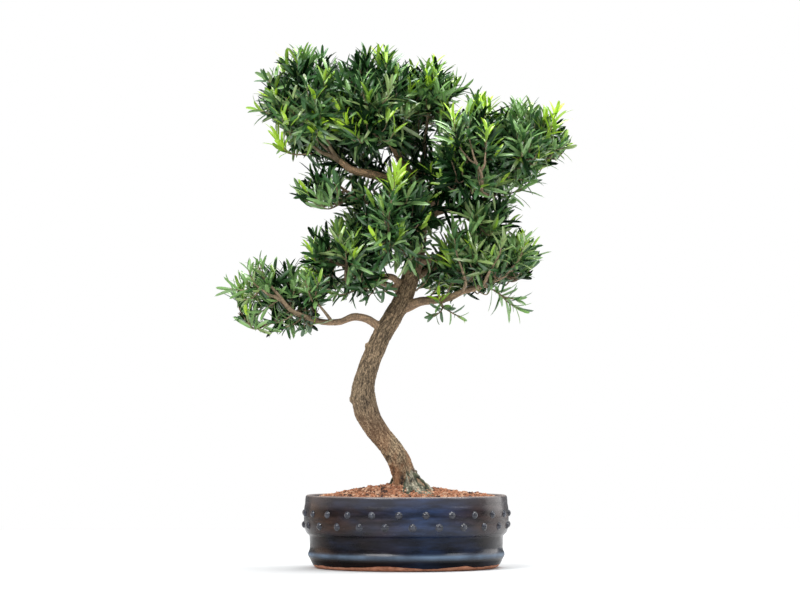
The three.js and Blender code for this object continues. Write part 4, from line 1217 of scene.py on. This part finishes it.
def foliage_pieces(random):
    twigs, shoots = [], []
    for number, name in enumerate(PADS):
        if name not in SPRIGS:
            grow_pad(number, name, twigs, shoots)
    for points, young in free_shoots(random):
        rows = [[*point, 1.1 - 0.6 * i / len(points)] for i, point in enumerate(points)]
        path, sizes = centre_line(rows, TWIG_STEP)
        shoots.append((FREE, path, sizes, path[-1], 1.0 + young))
    leaves = leaf_table(shoots, random)
    vertices = leaf_vertices(leaves)
    kept = in_place(leaves, vertices)
    leaves, vertices = leaves[kept], vertices[kept]
    counts = np.bincount(leaves[:, 13].astype(int), minlength=len(shoots))
    twigs += [shoot[1:3] for shoot, count in zip(shoots, counts) if count >= FEWEST_LEAVES]
    thin = joined([tube(path, sizes, 4) for path, sizes in twigs])
    add_piece("twigs", *thin, twig_finish(), "bark", FOLIAGE_NODES)
    thick = joined([tube(*centre_line(rows, 2), 10) for rows in BRANCHLETS])
    add_piece("branchlets", *thick, twig_finish(), "bark", FOLIAGE_NODES)
    _, _, faces = leaf_template()
    for kind, (name, colour) in enumerate(LEAF_COLOURS.items()):
        chosen = vertices[leaves[:, 12] == kind]
        numbered = (faces + np.arange(len(chosen))[:, None, None] * vertices.shape[1]).reshape(-1, 3)
        add_piece(name, chosen.reshape(-1, 3), numbered, leaf_finish(name, colour), "foliage", FOLIAGE_NODES)


# ---- Camera, light and floor, in metres ----

CAMERA_PLACE = (-0.008, -3.825, 0.187)
CAMERA_TARGET = (-0.008, 0, 0.333)
FLOOR_REACH = 1.3
FLOOR_LEVEL = -0.0005
LAMPS = [  # name, place, target, size, power and colour
    ("key", (-1.4, -1.9, 2.4), (0, 0, 0.4), 1.6, 96, (1, 1, 1)),
    ("fill", (2.4, -1.0, 1.6), (0, 0, 0.3), 1.2, 22, (1, 1, 1)),
    ("top", (0.3, 0.3, 2.4), (0, 0, 0.3), 1.8, 90, (1, 1, 1)),
    ("edge_left", (-1.8, 1.0, 0.7), (0, 0, 0.1), 1.4, 6.5, (1, 0.76, 0.6)),
    ("edge_right", (1.8, 1.0, 0.7), (0, 0, 0.1), 1.4, 14, (1, 0.97, 0.95)),
]
SEEN_SKY = ((1, 1, 1, 1), 1)  # colour and strength to the camera
LIGHT_SKY = ((0.88, 0.95, 1.0, 1), 0.28)  # and as light


def aimed(thing, location, target):
    thing.location = location
    thing.rotation_euler = (Vector(target) - Vector(location)).to_track_quat("-Z", "Y").to_euler()
    bpy.context.scene.collection.objects.link(thing)


def stage():
    camera = bpy.data.objects.new("camera", bpy.data.cameras.new("camera"))
    camera.data.lens = 135
    camera.data.sensor_width = 36
    camera.data.clip_end = 100
    aimed(camera, CAMERA_PLACE, CAMERA_TARGET)
    bpy.context.scene.camera = camera
    corners = [(x * FLOOR_REACH, y * FLOOR_REACH, 0) for x, y in ((-1, -1), (1, -1), (1, 1), (-1, 1))]
    floor = bpy.data.objects.new("floor", new_mesh("floor", corners, np.array([[0, 1, 2, 3]])))
    floor.location.z = FLOOR_LEVEL
    bpy.context.scene.collection.objects.link(floor)
    floor.data.materials.append(Finish("floor_white", (0.66, 0.665, 0.67), 0.9).material)
    for name, location, target, size, power, colour in LAMPS:
        lamp = bpy.data.lights.new(name, "AREA")
        lamp.color = colour
        lamp.size = size
        lamp.energy = power
        aimed(bpy.data.objects.new(name, lamp), location, target)
    bpy.context.scene.world = studio_world()
    bpy.context.scene.view_settings.view_transform = "Standard"


def studio_world():
    """A white sky to the camera and a soft one as light."""
    world = bpy.data.worlds.new("studio")
    world.use_nodes = True
    nodes, links = world.node_tree.nodes, world.node_tree.links
    choice = nodes.new("ShaderNodeMixShader")
    skies = (nodes.new("ShaderNodeBackground"), LIGHT_SKY), (nodes["Background"], SEEN_SKY)
    for slot, (sky, (colour, strength)) in enumerate(skies, 1):
        sky.inputs["Color"].default_value = colour
        sky.inputs["Strength"].default_value = strength
        links.new(sky.outputs[0], choice.inputs[slot])
    links.new(nodes.new("ShaderNodeLightPath").outputs["Is Camera Ray"], choice.inputs[0])
    links.new(choice.outputs[0], nodes["World Output"].inputs["Surface"])
    return world


stage()
pot_pieces()
mound = bvhtree.BVHTree.FromPolygons(*(part.tolist() for part in lumpy_mound()))
soil_pieces(np.random.default_rng(5), mound)
bark_piece()
root_string_piece(np.random.default_rng(7), mound)
foliage_pieces(np.random.default_rng(11))
